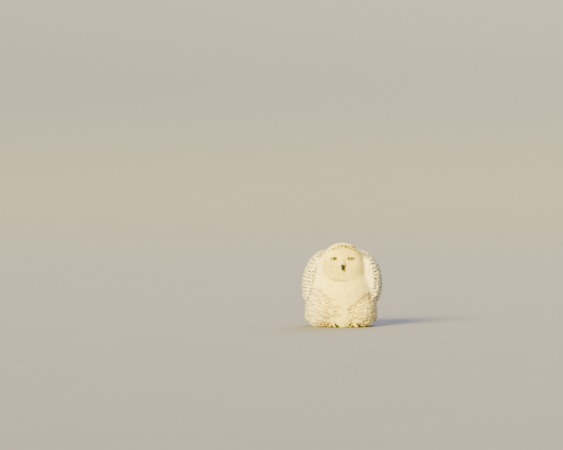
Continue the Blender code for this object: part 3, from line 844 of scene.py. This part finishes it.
def plumage(name, barbs, ripple, bow, bars=1, ragged=0.03):
    """Feather vanes: white to cream, the cream partly painted warm light, with a rachis, slanting barbs, and
    one dark mark or a row of bars.
    """
    nodes = Nodes(name)
    math_of, line = nodes.math, nodes.line
    strength, place, thick, dark = nodes.attribute("marking")
    warm, shade, _, wide = nodes.attribute("tone")
    flat = nodes.node("UVMap", uv_map="vane").outputs["UV"]
    parts = nodes.node("SeparateXYZ", {"Vector": flat})
    v = parts.outputs["Y"]
    u = math_of("ABSOLUTE", line(parts.outputs["X"], 2.0, -1.0))
    fine, coarse = nodes.noise(420.0, 2.0), nodes.noise(60.0, 3.0)
    bowed = line(math_of("MULTIPLY", u, u), bow, v)
    along = line(fine, ragged, math_of("SUBTRACT", bowed, ragged / 2))
    if bars > 1:
        turn = math_of("FRACT", line(along, float(bars), place))
        off = math_of("ABSOLUTE", math_of("SUBTRACT", turn, 0.5))
    else:
        off = math_of("ABSOLUTE", math_of("SUBTRACT", along, place))
    tall = math_of("POWER", math_of("DIVIDE", off, thick), 2.0)
    wide_share = math_of("POWER", math_of("DIVIDE", u, wide), 4.0)
    inside = nodes.step(math_of("ADD", tall, wide_share), 1.35, 0.75)
    mark = math_of("MULTIPLY", inside, strength)
    barb = line(math_of("SINE", math_of("MULTIPLY", line(u, -0.55, v), barbs)), 0.5, 0.5)
    # Painted shade: each vane is darker towards its root, where the feathers over it cover it.
    value = line(nodes.step(v, 0.0, 0.7), 0.16, 0.84)
    for layer, depth, rest in ((barb, 0.05, 0.95), (shade, 0.10, 0.92), (coarse, 0.08, 0.96)):
        value = math_of("MULTIPLY", value, line(layer, depth, rest))
    plain = nodes.mix(warm, FEATHER_WHITE, CREAM_AND_PAINTED_WARM_LIGHT)
    tinted = nodes.node("VectorMath", {0: plain}, operation="SCALE")
    nodes.put(tinted.inputs["Scale"], value)
    brown = nodes.mix(dark, BAR_BROWN, SPOT_BROWN)
    nodes.surface(Base_Color=nodes.mix(mark, tinted.outputs[0], brown), Roughness=line(coarse, 0.14, 0.76),
                  Specular_IOR_Level=0.08, Sheen_Weight=0.03, Sheen_Roughness=0.5)
    rachis = nodes.step(u, 0.10, 0.0)
    relief = math_of("ADD", math_of("MULTIPLY", barb, 0.7), math_of("MULTIPLY", rachis, 0.8))
    nodes.bump(math_of("ADD", relief, math_of("MULTIPLY", fine, 0.6)), ripple, 0.0004)
    return nodes.material


def horn_material():
    """Black horn: semi-gloss, with fine growth lines and rubbed, paler patches."""
    nodes = Nodes("black_horn")
    rubbed = nodes.noise(140.0, 3.0)
    horn = nodes.mix(nodes.step(rubbed, 0.45, 0.75), HORN, WORN_HORN)
    nodes.surface(Base_Color=horn, Roughness=nodes.line(rubbed, 0.3, 0.26), Specular_IOR_Level=0.3)
    nodes.bump(nodes.noise(900.0, 4.0), 0.25, 0.0003)
    return nodes.material


def eye_material():
    """A wet eye: black pupil, vivid yellow iris with fine spokes, and a dark edge."""
    nodes = Nodes("yellow_iris")
    across, angle, _, _ = nodes.attribute("gaze")
    round_eye = nodes.node("CombineXYZ", {"X": angle, "Y": nodes.math("MULTIPLY", across, 0.12)})
    spokes = nodes.noise(26.0, 3.0, round_eye.outputs[0])
    iris = nodes.mix(spokes, IRIS, IRIS_SPOKE)
    iris = nodes.mix(nodes.math("MULTIPLY", nodes.step(across, 0.42, 0.30), 0.2), iris, IRIS_MIDDLE)
    iris = nodes.mix(nodes.step(across, 0.84, 0.97), iris, EYE_EDGE)
    eye = nodes.mix(nodes.step(across, 0.25, 0.22), iris, PUPIL)
    nodes.surface(Base_Color=eye, Roughness=0.05, Specular_IOR_Level=0.2,
                  Coat_Weight=0.5, Coat_Roughness=0.02)
    nodes.bump(spokes, 0.06, 0.0002)
    return nodes.material


def floor_material():
    nodes = Nodes("pale_floor")
    height = nodes.node("SeparateXYZ", {"Vector": nodes.place()}).outputs["Z"]
    near = nodes.mix(nodes.noise(3.0, 2.0), FLOOR, FLOOR_PATCH)
    # Painted shade: the rising wall of the bowl takes the darker, bluer colour, which offsets the stronger
    # warm key light that falls on it.
    floor = nodes.mix(nodes.step(height, 0.0, 1.8), near, BOWL_PAINTED_SHADE)
    nodes.surface(Base_Color=floor, Roughness=0.9, Specular_IOR_Level=0.1)
    nodes.bump(nodes.noise(180.0, 2.0), 0.05, 0.001)
    return nodes.material


# ---------------------------------------------------------------- skin, lids, eyes, bill and claws

LID_SPAN = (0.0130, 0.0060)  # half the length and half the height of the open eye
LID_RINGS, LID_TURNS = 8, 48
EYE_WIDE = 1.12  # how much wider than high the eyeball is, which keeps the corners of the eye shallow
TURNED_IN = 9.0  # degrees by which each eye looks towards the bill
GAZE_UP = 0.02  # how steeply each eye looks up
IRIS_REACH = 62.0  # degrees from the middle of the pupil to the iris's edge
CORNEA_RISE = 0.03  # how far the cornea stands proud, as a share of the eyeball's radius
CORNEA_REACH = 0.9  # where the cornea ends, as a share of the way to the iris's edge
SKIN_BARS = 0.013  # between the bars on the skin
MOUTH_GAP = 0.0035  # how far the lower half of the CAD bill stands below the upper half


def lid_outline(turns, spread):
    """The almond between the lids, flatter above, which turns into an ellipse as it spreads."""
    up = np.sign(np.sin(turns)) * np.abs(np.sin(turns)) ** (1.6 - 0.6 * spread)
    brow = 1 - 0.16 * (up > 0) * (1 - spread)
    return np.cos(turns) * LID_SPAN[0] * (1 + 0.44 * spread), up * brow * LID_SPAN[1] * (1 + 1.2 * spread)


def fronts(tree, points):
    """How far forward the skin is at each point, seen from the front."""
    reach = BILL_LOW[1] - 0.1
    hits = [tree.ray_cast((x, reach, z), (0, 1, 0))[0] for x, _, z in points.reshape(-1, 3).tolist()]
    places = [y if hit is None else hit.y for hit, y in zip(hits, points[..., 1].ravel())]
    return np.array(places).reshape(points.shape[:-1])


def lids(side, form):
    """Rings of places from the edge of the open eye out to the face."""
    turns = np.linspace(0, 2 * math.pi, LID_TURNS + 1)[:-1]
    centre = EYES[side]
    ball = EYE_RADIUS + 0.0006
    rings = []
    for r in np.linspace(0, 1, LID_RINGS):
        px, pz = lid_outline(turns, r)
        flat = np.hypot(px / EYE_WIDE, pz)
        on_ball = centre[1] - np.sqrt(np.maximum(ball**2 - flat**2, 0.1 * ball**2))
        start = table(centre[0] + px, EYE_FRONT_Y - 0.004, centre[2] + pz)
        on_face = fronts(form.surface, start) + 0.0008
        share = ramp(r, 0.25, 1.0)
        roll = 0.0012 * math.sin(math.pi * min(1.0, 0.15 + 1.6 * r))
        py = on_ball * (1 - share) + on_face * share + 0.002 * max(0.0, r - 0.8) / 0.2
        py = np.where(flat < 0.96 * ball, np.minimum(py, on_ball), py) - roll
        rings.append(table(start[:, 0], py, start[:, 2]))
    return np.stack(rings, 0)


def join_lids(mesh, form):
    """Adds the lids to the skin's own mesh, with a dark edge round each eye."""
    bm = bmesh.new()
    bm.from_mesh(mesh)
    layer = bm.verts.layers.float_color["marking"]
    for side in SIDES:
        made = []
        for r, ring in zip(np.linspace(0, 1, LID_RINGS), lids(side, form)):
            row = [bm.verts.new(place) for place in ring]
            for vert in row:
                vert[layer] = (float(ramp(r, 0.25, 0.10)), 0.5, 0.5, 1.0)
            made.append(row)
        for near, far in zip(made, made[1:]):
            for i in range(LID_TURNS):
                j = (i + 1) % LID_TURNS
                bm.faces.new((near[i], far[i], far[j], near[j]))
    bm.to_mesh(mesh)
    bm.free()


def behind_lids(points):
    """The skin's places, drawn back behind the eyes so that only the lids meet them."""
    for centre in EYES.values():
        across = (points[:, 0] - centre[0]) / (LID_SPAN[0] * 1.08)
        up = (points[:, 2] - centre[2]) / (LID_SPAN[1] * 1.08 + 0.001)
        points[:, 1] += 0.03 * ramp(np.hypot(across, up), 1.10, 0.80) * (points[:, 1] < EYE_FRONT_Y + 0.03)
    return points


def build_skin(outer, look):
    """Draws the flesh's form in by the coat's depth, marks it as the coat is marked, and adds the lids."""
    obj = fused("skin", FLESH)
    mesh = obj.data
    form = Form(mesh, FLESH).dress()
    inner = behind_lids(form.co - form.normal * form.depth[:, None])
    index = outer.nearest(inner)
    above = dot(inner - outer.co[index], outer.normal[index]) + 0.6 * outer.depth[index]
    near = np.linalg.norm(inner - outer.co[index], axis=1) < 0.02
    inner -= outer.normal[index] * (np.maximum(above, 0) * near * ~form.on("foot"))[:, None]
    inner[:, 2] = np.maximum(inner[:, 2], 2 * FLOOR_GAP)
    set_places(mesh, inner)
    strength, darkness = marks(form, np.arange(form.count), form.co)
    rows = 0.5 + 0.5 * np.sin(form.co[:, 2] * 2 * math.pi / SKIN_BARS)
    add_layer(mesh, "marking", table(strength * ramp(rows, 0.6, 0.9) * 0.7, 0.5, 0.5, darkness))
    add_layer(mesh, "tone", table(cream_and_painted_warm_light(form.co), 0.4, 0.5, 1.0))
    join_lids(mesh, outer)
    middle_of = np.full((len(mesh.loops), 2), 0.5, np.float32)
    mesh.uv_layers.new(name="vane").data.foreach_set("uv", middle_of.ravel())
    mesh.shade_smooth()
    finish_piece(obj, look)
    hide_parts(*FLESH)
    places = read(mesh.vertices, "co", 3)
    return BVHTree.FromPolygons(places.tolist(), [list(face.vertices) for face in mesh.polygons])


def eyeball(side, look):
    """A ball with a low cornea, whose gaze is turned in a little towards the bill."""
    bm = bmesh.new()
    bmesh.ops.create_uvsphere(bm, u_segments=64, v_segments=48, radius=1.0)
    turn_in = math.radians(-TURNED_IN) * SIDES[side]
    gaze = np.array([math.sin(turn_in), -math.cos(turn_in), GAZE_UP])
    gaze /= np.linalg.norm(gaze)
    layer = bm.verts.layers.float_color.new("gaze")
    for vert in bm.verts:
        place = np.array(vert.co)
        facing = float(place @ gaze)
        flat = place - gaze * facing
        away = math.acos(max(-1.0, min(1.0, facing))) / math.radians(IRIS_REACH)
        vert[layer] = (away, math.atan2(flat[2], flat[0]) / (2 * math.pi) + 0.5, 0, 1)
        place = place * EYE_RADIUS * (1 + CORNEA_RISE * max(0.0, 1 - (away / CORNEA_REACH) ** 2))
        vert.co = Vector(place * (EYE_WIDE, 1, 1) + EYES[side])
    obj = object_from(bm, f"eyeball_{side}")
    low = read(obj.data.vertices, "co", 3)[:, 1].min()
    obj.data.transform(Matrix.Translation((0, EYE_FRONT_Y - low, 0)))
    finish_piece(obj, look)
    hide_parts(f"eye_{side}")


def finer(node, name, look, taller=0.0):
    """A smooth copy of a CAD node that is faceted, which may reach higher by so much."""
    bm = welded([node])
    bmesh.ops.join_triangles(bm, faces=bm.faces, angle_face_threshold=0.9, angle_shape_threshold=0.9)
    obj = object_from(bm, name)
    subdivide = obj.modifiers.new("subdivide", "SUBSURF")
    subdivide.levels = subdivide.render_levels = 2
    bake_modifiers(obj)
    places = read(obj.data.vertices, "co", 3)
    low, high = corners(node)
    high[2] += taller
    share = (places - places.min(0)) / (places.max(0) - places.min(0))
    set_places(obj.data, low + share * (high - low))
    finish_piece(obj, look)
    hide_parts(node)


# ---------------------------------------------------------------- the coat, part by part


def tones(points, wide=1.0):
    """Warmth, shade, a number by chance, and how far out the mark reaches, for each feather."""
    count = len(points)
    warm = np.clip(cream_and_painted_warm_light(points) + rng.normal(0, 0.05, count), 0, 1)
    return table(warm, rng.random(count), rng.random(count), wide)


def markings(form, made, at, thick, share=1.0, faint=0.5):
    """Each feather's mark: how strong, where along the vane, half its thickness, and how dark."""
    place = made["line"]["place"]
    points = place[:, int(round(at * (place.shape[1] - 1)))]
    strength, darkness = marks(form, form.nearest(points), points)
    count = len(points)
    chance = ramp(strength, 0.15, 0.75) * share
    strength = (rng.random(count) < chance) * rng.uniform(1 - faint, 1.0, count)
    return table(strength, at + rng.normal(0, 0.02, count), thick * rng.uniform(0.7, 1.25, count), darkness)


def kept(made, keep):
    """Only those vanes that keep names."""
    line = {name: values[keep] for name, values in made["line"].items()}
    return {"co": made["co"][keep], "line": line, "soft": made["soft"]}


def clear_of_eyes(points, margin=1.02):
    """Which points aren't over an open eye or its lids' edge."""
    clear = np.ones(points.shape[:-1], bool)
    for centre in EYES.values():
        across = (points[..., 0] - centre[0]) / (LID_SPAN[0] * margin + 0.0008)
        up = (points[..., 2] - centre[2]) / (LID_SPAN[1] * margin + 0.0010)
        clear &= (across**2 + up**2 > 1) | (points[..., 1] > EYE_FRONT_Y + 0.05)
    return clear


def clear_of_bill(points):
    side, y, z = parted(points)
    low = (z < BILL_HIGH[2] - 0.004) & (z > BILL_LOW[2] + 0.010)
    return ~((np.abs(side) < 0.0040) & low & (y < EYE_FRONT_Y + 0.01))


def from_nearest_eye(points):
    """How far points are from the middle of the nearer eye, in a view from the front."""
    away = [points - centre for centre in EYES.values()]
    return np.min([np.hypot(off[:, 0], off[:, 2]) for off in away], axis=0)


def face_coat(form, look, skin):
    """Short, fine tufts that lie outwards from eyes and bill, the shortest of them on the lids."""
    away = face_distance(form.co)
    mask = form.on("head") & (away < 0.080) & (form.normal[:, 1] < 0.35)
    roots = scatter(form, mask, np.interp(away, [0.015, 0.075], [0.00080, 0.00125]), 3.0)
    roots = roots[clear_of_eyes(roots) & clear_of_bill(roots)]
    far, from_eye = face_distance(roots), from_nearest_eye(roots)
    length = np.interp(far, [0.012, 0.03, 0.08], [0.0055, 0.0095, 0.018])
    length *= np.interp(from_eye, [0.012, 0.026], [0.5, 1.0])
    width = np.interp(far, [0.012, 0.08], [0.0011, 0.0027]) * np.interp(from_eye, [0.012, 0.02], [0.8, 1.0])
    made = vanes(form, roots, "wisp", length, width, turn=0.12)
    made = kept(made, clear_of_eyes(made["line"]["place"], 1.0).all(1))
    co = made["co"]
    low = from_nearest_eye(co[:, 0, 0]) < 0.024
    over = np.linspace(0.0002, 0.0010, co.shape[1])[None, :, None]
    co[low, :, :, 1] = np.minimum(co[low, :, :, 1], fronts(skin, co[low]) - over)
    left = made["line"]["place"][:, 0, 0] > MID_X
    for side, mine in zip(SIDES, (left, ~left)):
        half = kept(made, mine)
        marking = markings(form, half, 0.9, 0.5, 1.0, 0.2)
        tone = tones(half["line"]["place"][:, 0], 2.0)
        coat(f"coat_face_{side}", half, look, marking, tone, centre=HEAD_MIDDLE)


def crown_coat(form, look):
    """Soft, small feathers over crown, cheeks and nape, the crown's with a dark spot each."""
    away = face_distance(form.co)
    mask = form.on("head") & ((away > 0.068) | (form.normal[:, 1] > 0.2))
    roots = scatter(form, mask, np.interp(away, [0.06, 0.11], [0.0028, 0.0048]), 3.5)
    far = face_distance(roots)
    length = np.interp(far, [0.06, 0.12], [0.017, 0.027])
    made = vanes(form, roots, "tuft", length, np.interp(far, [0.06, 0.12], [0.0050, 0.0100]))
    marking = markings(form, made, 0.80, 0.0034 / length, 1.0, 0.05)
    coat("coat_crown", made, look, marking, tones(roots, 0.9), centre=HEAD_MIDDLE)


def belly_coat(form, look):
    """The bib's plain, loose feathers and the belly's barred ones, in rows, down to the floor."""
    body = form.grown(form.on(*BODY), UNDERLAP + 3)
    mask = body & (form.co[:, 1] < BELLY_FRONT_Y + 0.165) & (form.normal[:, 2] > -0.85)
    below = belly_line(form.co)
    bib = lattice(form, mask & (below < -0.033), 0.0078, 0.0095)
    rows = lattice(form, mask & (below > -0.062), 0.0122, 0.0125)
    for name, roots, length, width in (
        ("coat_bib", bib, 0.031, 0.0165),
        ("coat_belly_left", rows[rows[:, 0] > MID_X], 0.038, 0.024),
        ("coat_belly_right", rows[rows[:, 0] <= MID_X], 0.038, 0.024),
    ):
        side, y, z = parted(roots)
        front = y < BELLY_FRONT_Y + 0.07
        between_feet = ramp(np.abs(side), 0.036, 0.024) * (ramp(z, 0.090, 0.065) * front)
        low = np.maximum(ramp(z, 0.062, 0.036) * front, between_feet)
        cling = 1 - 0.7 * low - 0.25 * between_feet
        length = length + 0.018 * between_feet
        made = vanes(form, roots, "loose", length, width, 0.005 * low, turn=0.05, cling=cling)
        marking = markings(form, made, 0.84, 0.074, 0.97, 0.1)
        marking[:, 0] *= between_feet < 0.3
        reach = 0.92 - 0.4 * ramp(marking[:, 3], 0.3, 0.7)
        coat(name, made, look, marking, tones(roots, reach))


def down_coat(form, look):
    """Thin, loose strands over the body's feathers, which soften their edges."""
    body = form.on(*BODY) & (form.co[:, 1] < BELLY_FRONT_Y + 0.19) & (form.normal[:, 2] > -0.6)
    roots = scatter(form, body, np.full(form.count, 0.0021), 2.0)
    made = vanes(form, roots, "strand", 0.015, 0.0007, turn=0.25)
    made["co"] += made["line"]["normal"][:, :, None, :] * 0.0003
    coat("coat_down", made, look, markings(form, made, 0.8, 0.3, 0.0), tones(roots))


def back_coat(form, look):
    """Mantle, back and rump, and the underside."""
    trunk = form.grown(form.on(*BODY), UNDERLAP)
    over_wings = form.grown(form.on("neck", "trunk"), UNDERLAP + 4) & (form.normal[:, 1] > 0)
    mask = trunk | (over_wings & (form.co[:, 2] > 0.1))
    mask &= (form.co[:, 1] >= BELLY_FRONT_Y + 0.145) & (form.normal[:, 2] > -0.5)
    roots = lattice(form, mask, 0.0110, 0.0135)
    rump = ramp(roots[:, 1], TAIL_LOW[1] - 0.06, TAIL_LOW[1])
    above = 0.0012 * ramp(roots[:, 2], 0.09, 0.12)
    made = vanes(form, roots, "firm", 0.036 + 0.020 * rump, 0.023, above, turn=0.04)
    marking = markings(form, made, 0.80, 0.045, 0.9, 0.04)
    coat("coat_back", made, look, marking, tones(roots, 0.6))
    under = trunk & (form.normal[:, 2] <= -0.45)
    roots = scatter(form, under, np.full(form.count, 0.0085), 3.0)
    made = vanes(form, roots, "tuft", 0.028, 0.016)
    coat("coat_under", made, look, markings(form, made, 0.8, 0.05, 0.0), tones(roots))


def from_wing_tip(points, side):
    low, high = corners(f"primaries_{side}")
    return np.linalg.norm(points - [(low[0] + high[0]) / 2, high[1], low[2] + 0.010], axis=1)


def wing_coats(form, look):
    """The coverts, small at the bend of the wing and larger behind, each with a dark spot."""
    scapulars = form.grown(form.on("neck", "trunk"), 3) & (form.normal[:, 1] > 0) & (form.co[:, 2] > 0.1)
    for side, sign in SIDES.items():
        inner_wall = form.on(f"primaries_{side}") & (form.normal[:, 0] * sign < 0.35)
        mask = form.grown(form.on(f"wing_{side}"), UNDERLAP) | inner_wall
        mask &= (from_wing_tip(form.co, side) > 0.085) & ~scapulars
        roots = lattice(form, mask, 0.0108, 0.0118)
        grow = np.interp(roots[:, 1] - WING_FRONT_Y, [0.0, 0.10, 0.24], [0.80, 1.0, 1.45])
        made = vanes(form, roots, "firm", 0.032 * grow, 0.0185 * grow, turn=0.07)
        marking = markings(form, made, 0.82, 0.084, 0.95, 0.03)
        marking[:, 2] /= grow
        reach = rng.uniform(0.50, 0.84, len(roots))
        coat(f"coat_wing_{side}", made, look, marking, tones(roots, reach))


BLADE_LIFT = 0.0012  # how far the lowest blade lies over the form
BLADE_STEP = 0.0003  # from each blade up to the next
BLADE_SUNK = 0.0045  # how deep a blade's root lies


def flight_feathers(form, look):
    """Secondaries, primaries and tail: long blades that overlap, each with a row of bars."""
    for side, sign in SIDES.items():
        wing_low, wing_high = corners(f"wing_{side}")
        tip_low, tip_high = corners(f"primaries_{side}")
        out = sign * max(abs(wing_low[0]), abs(wing_high[0]))
        end = wing_high[1]
        bottom = (out * 0.95, end - 0.110, tip_low[2] + 0.040)
        inside = (sign * 0.010, end + 0.012, tip_low[2] + 0.030)
        inside_top = (sign * 0.004, end + 0.002, tip_high[2] - 0.010)
        ridge = (sign * 0.020, end - 0.004, tip_high[2] + 0.002)
        ridge_end = (sign * 0.034, end - 0.004, tip_high[2] - 0.004)
        # How many blades, the roots of the first and the last, and their shares of the way to the tip.
        rows = (
            (5, inside, inside_top, 0.80, 0.86),
            (4, ridge, ridge_end, 0.93, 0.96),
            (12, (out * 0.50, end - 0.075, wing_high[2] * 0.80), bottom, 0.84, 0.88),
            (6, (out * 0.8, end - 0.06, tip_low[2] + 0.05), bottom, 0.92, 1.0),
        )
        roots = np.concatenate([np.linspace(first, last, count) for count, first, last, _, _ in rows])
        share = np.concatenate([np.linspace(first, last, count) for count, _, _, first, last in rows])
        lengths = from_wing_tip(roots, side) * share
        lay_blades(form, f"coat_flight_{side}", roots, lengths, 0.032, look, f"primaries_{side}")
    share = np.linspace(-1, 1, 12)
    across = share * (TAIL_HIGH[0] - TAIL_LOW[0]) * 0.30
    roots = table((TAIL_LOW[0] + TAIL_HIGH[0]) / 2 + across, TAIL_LOW[1] + 0.01, TAIL_HIGH[2])
    lengths = (TAIL_HIGH[1] - TAIL_LOW[1]) * (1 - 0.22 * np.abs(share) ** 1.5) - 0.012
    order = np.argsort(-np.abs(across), kind="stable")
    lay_blades(form, "coat_tail", roots[order], lengths[order], 0.034, look, "tail")


def lay_blades(form, name, roots, lengths, width, look, node):
    """One piece of long feathers, the first of them lowest, in place of a node."""
    count = len(roots)
    roots = form.co[form.nearest(roots)]
    made = vanes(form, roots, "flight", lengths, width, turn=0.0, even=True)
    stack = BLADE_LIFT + np.linspace(0.0, BLADE_STEP * count, count)
    out = ramp(np.linspace(0, 1, made["co"].shape[1]), 0.06, 0.30)
    height = stack[:, None] * out - BLADE_SUNK * (1 - out)
    made["co"] += made["line"]["normal"][:, :, None, :] * height[..., None, None]
    phase = np.linspace(0.3, 0.6, count) + rng.normal(0, 0.06, count)
    marking = table(1.0, phase, rng.uniform(0.065, 0.10, count), 0.95)
    obj = coat(name, made, look, marking, tones(roots, 0.8), centre=None)
    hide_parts(node)


def foot_coats(form, look):
    """Fine, hair-like tufts down to the claws."""
    roots = scatter(form, form.on("foot"), np.full(form.count, 0.0014), 3.0)
    made = vanes(form, roots, "wisp", 0.0090, 0.0018, turn=0.15)
    coat("coat_feet", made, look, markings(form, made, 0.8, 0.05, 0.0), tones(roots))


def slips(line, normal, half, soft):
    """Narrow, tapering blades along these lines, each two faces wide."""
    way = unit(np.gradient(line, axis=1))
    normal = unit(normal - way * dot(way, normal)[..., None])
    s = np.linspace(0, 1, line.shape[1])[None, :, None]
    u = np.array([-1.0, 0.0, 1.0])[None, None, :]
    across = np.cross(normal, way)[:, :, None, :]
    co = line[:, :, None, :] + across * (u * half * (1 - 0.8 * s**2))[..., None]
    return {"co": co, "line": {"place": line, "normal": normal}, "soft": soft}


BRISTLES = 2600
LID_TUFTS = 2400  # round each eye


def bill_bristles(look, skin):
    """Fine, stiff tufts from both sides of the bill's root, which leave a diamond of horn between them."""
    side = np.where(rng.random(BRISTLES) < 0.5, -1.0, 1.0)
    out = rng.random(BRISTLES) ** 0.8
    reach = rng.uniform(0.45, 1.05, BRISTLES) * (1 - 0.3 * out**2)
    apex = EYE_Z - 0.0160
    root_z = BILL_HIGH[2] + 0.0060 - 0.0250 * out**1.5
    first = table(MID_X + side * (0.0005 + 0.0150 * out), EYE_FRONT_Y, root_z)
    first[:, [0, 2]] += rng.normal(0, 0.0013, (BRISTLES, 2))
    last = table(MID_X + side * (0.0002 + 0.0100 * out), first[:, 1], apex - 0.0150 * out)
    last += rng.normal(0, 0.0009, (BRISTLES, 3))
    last[:, [0, 2]] = (1 - reach[:, None]) * first[:, [0, 2]] + reach[:, None] * last[:, [0, 2]]
    first[:, 1] = fronts(skin, first) + 0.0005
    bill = BVHTree.FromPolygons(*polygons_of("bill_upper"))
    face = np.minimum(fronts(skin, last), fronts(bill, last + (0, 1, 0)))
    last[:, 1] = face - rng.uniform(0.0006, 0.0022, BRISTLES)
    bend = (first + last) / 2 + table(side * 0.001, rng.uniform(-0.0035, -0.0005, BRISTLES), 0.0015)
    s = np.linspace(0, 1, 6)[None, :, None]
    line = first[:, None] * (1 - s) ** 2 + 2 * bend[:, None] * s * (1 - s) + last[:, None] * s**2
    outward = unit(table(side * (0.3 + out), -1.0, 0.8))[:, None]
    made = slips(line, np.broadcast_to(outward, line.shape), 0.00040, 0.6)
    coat("coat_bristles", made, look, np.zeros((BRISTLES, 4)), tones(first), centre=HEAD_MIDDLE)


def between(rings, r, turn):
    """Places on the lids, at r from the edge of the eye to the face and at turn round it."""
    near = r * (len(rings) - 1)
    i = np.clip(np.floor(near), 0, len(rings) - 2).astype(int)
    j = np.floor(turn).astype(int)
    inward, onward = (near - i)[..., None], (turn - j)[..., None]
    j, next_j = j % LID_TURNS, (j + 1) % LID_TURNS
    first = rings[i, j] * (1 - onward) + rings[i, next_j] * onward
    second = rings[i + 1, j] * (1 - onward) + rings[i + 1, next_j] * onward
    return first * (1 - inward) + second * inward


def lid_coat(form, look, skin):
    """The tiniest tufts, out over the lids from just beyond their bare edge."""
    lines, normals = [], []
    s = np.linspace(0, 1, 5)[None, :]
    above = 0.0002 + 0.0007 * s
    for side in SIDES:
        rings = lids(side, form)
        turn = rng.uniform(0, LID_TURNS, (LID_TUFTS, 1)) + rng.normal(0, 0.6, (LID_TUFTS, 1)) * s
        r = 0.14 + 0.70 * rng.random((LID_TUFTS, 1)) ** 0.75 + 0.22 * s
        line = between(rings, r, turn)
        round_eye = between(rings, r, turn + 0.5) - between(rings, r, turn - 0.5)
        normal = unit(np.cross(np.gradient(line, axis=1), round_eye))
        normal *= np.where(normal[..., 1:2] > 0, -1.0, 1.0)
        line = line + normal * above[..., None]
        raised = np.minimum(line[..., 1], fronts(skin, line) - above)
        line[..., 1] = np.where(r > 0.30, raised, line[..., 1])
        lines.append(line)
        normals.append(normal)
    line = np.concatenate(lines)
    made = slips(line, np.concatenate(normals), 0.00065, 0.6)
    coat("coat_lids", made, look, np.zeros((len(line), 4)), tones(line[:, 0]), centre=HEAD_MIDDLE)


# ---------------------------------------------------------------- stage

STAGE_RINGS = ((4.0, 0.0), (9.0, 0.0), (13.5, 0.15), (16.5, 0.7), (18.6, 1.7), (19.8, 3.0), (20.4, 4.6))
STAGE_TURNS = 96

# Name, the way the light travels, how wide its disc is in degrees, strength and tint.
SUNS = (
    ("key", (0.50, 1.0, -0.42), 24, 19.0, (1.0, 0.80, 0.27)),
    ("rim", (-0.34, -1.0, -0.85), 40, 2.8, (0.97, 0.98, 1.0)),
)
WORLD_LIGHT, WORLD_STRENGTH = colour(0.95, 0.97, 1.0), 0.60

SENSOR = 36.0  # millimetres
DISTANCE = 10.0
ELEVATION = math.radians(2.0)
VIEW_WIDTH = 2.083  # metres across the picture at the owl
LEFT_OF_OWL, ABOVE_OWL = 0.226, 0.2215  # where the camera looks, from the owl's middle


def pale_stage():
    """A wide pale floor that rises far off in a smooth bowl."""
    bm = bmesh.new()
    turns = np.linspace(0, 2 * math.pi, STAGE_TURNS + 1)[:-1]
    loops = [[bm.verts.new((radius * math.cos(t), radius * math.sin(t), height)) for t in turns]
             for radius, height in STAGE_RINGS]
    hub = bm.verts.new((0, 0, 0))
    for i in range(STAGE_TURNS):
        j = (i + 1) % STAGE_TURNS
        bm.faces.new((hub, loops[0][i], loops[0][j]))
        for near, far in zip(loops, loops[1:]):
            bm.faces.new((near[i], far[i], far[j], near[j]))
    obj = object_from(bm, "floor")
    obj.data.materials.append(floor_material())


def facing(way):
    return Vector(way).to_track_quat("-Z", "Y").to_euler()


def lights():
    for name, way, wide, strength, tint in SUNS:
        data = bpy.data.lights.new(name, "SUN")
        data.energy = strength
        data.angle = math.radians(wide)
        data.color = tint
        placed(name, data).rotation_euler = facing(way)
    world = bpy.data.worlds.new("studio")
    world.use_nodes = True
    world.node_tree.nodes["Background"].inputs["Color"].default_value = WORLD_LIGHT
    world.node_tree.nodes["Background"].inputs["Strength"].default_value = WORLD_STRENGTH
    bpy.context.scene.world = world


def camera():
    data = bpy.data.cameras.new("camera")
    data.sensor_width = SENSOR
    data.lens = SENSOR * DISTANCE / VIEW_WIDTH
    data.clip_end = 200
    owl = Vector((MID_X, EYE_FRONT_Y + 0.05, (CAD_BOX[0][2] + CAD_BOX[1][2]) / 2))
    obj = placed("camera", data)
    obj.location = owl + Vector((0, -math.cos(ELEVATION), math.sin(ELEVATION))) * DISTANCE
    obj.rotation_euler = facing(owl + Vector((-LEFT_OF_OWL, 0, ABOVE_OWL)) - obj.location)
    bpy.context.scene.camera = obj


def build():
    soft = plumage("soft_plumage", 60.0, 0.30, 0.05)
    firm = plumage("firm_plumage", 75.0, 0.45, -0.08)
    barred = plumage("barred_plumage", 190.0, 0.5, 0.05, bars=6, ragged=0.016)
    horn = horn_material()
    iris = eye_material()
    form = bare_form("coat_form", FEATHERED, VOXEL)
    toes = bare_form("toe_form", FEET, TOE_VOXEL)
    skin = build_skin(form, soft)
    for side in SIDES:
        eyeball(side, iris)
        for toe in ("inner", "middle", "outer", "hind"):
            finer(f"claw_{side}_{toe}", f"talon_{side}_{toe}", horn)
    finer("bill_upper", "bill_top", horn)
    finer("bill_lower", "bill_bottom", horn, MOUTH_GAP)
    face_coat(form, soft, skin)
    crown_coat(form, soft)
    belly_coat(form, soft)
    down_coat(form, soft)
    back_coat(form, firm)
    wing_coats(form, firm)
    flight_feathers(form, barred)
    foot_coats(toes, soft)
    bill_bristles(soft, skin)
    lid_coat(form, soft, skin)
    pale_stage()
    lights()
    camera()


build()
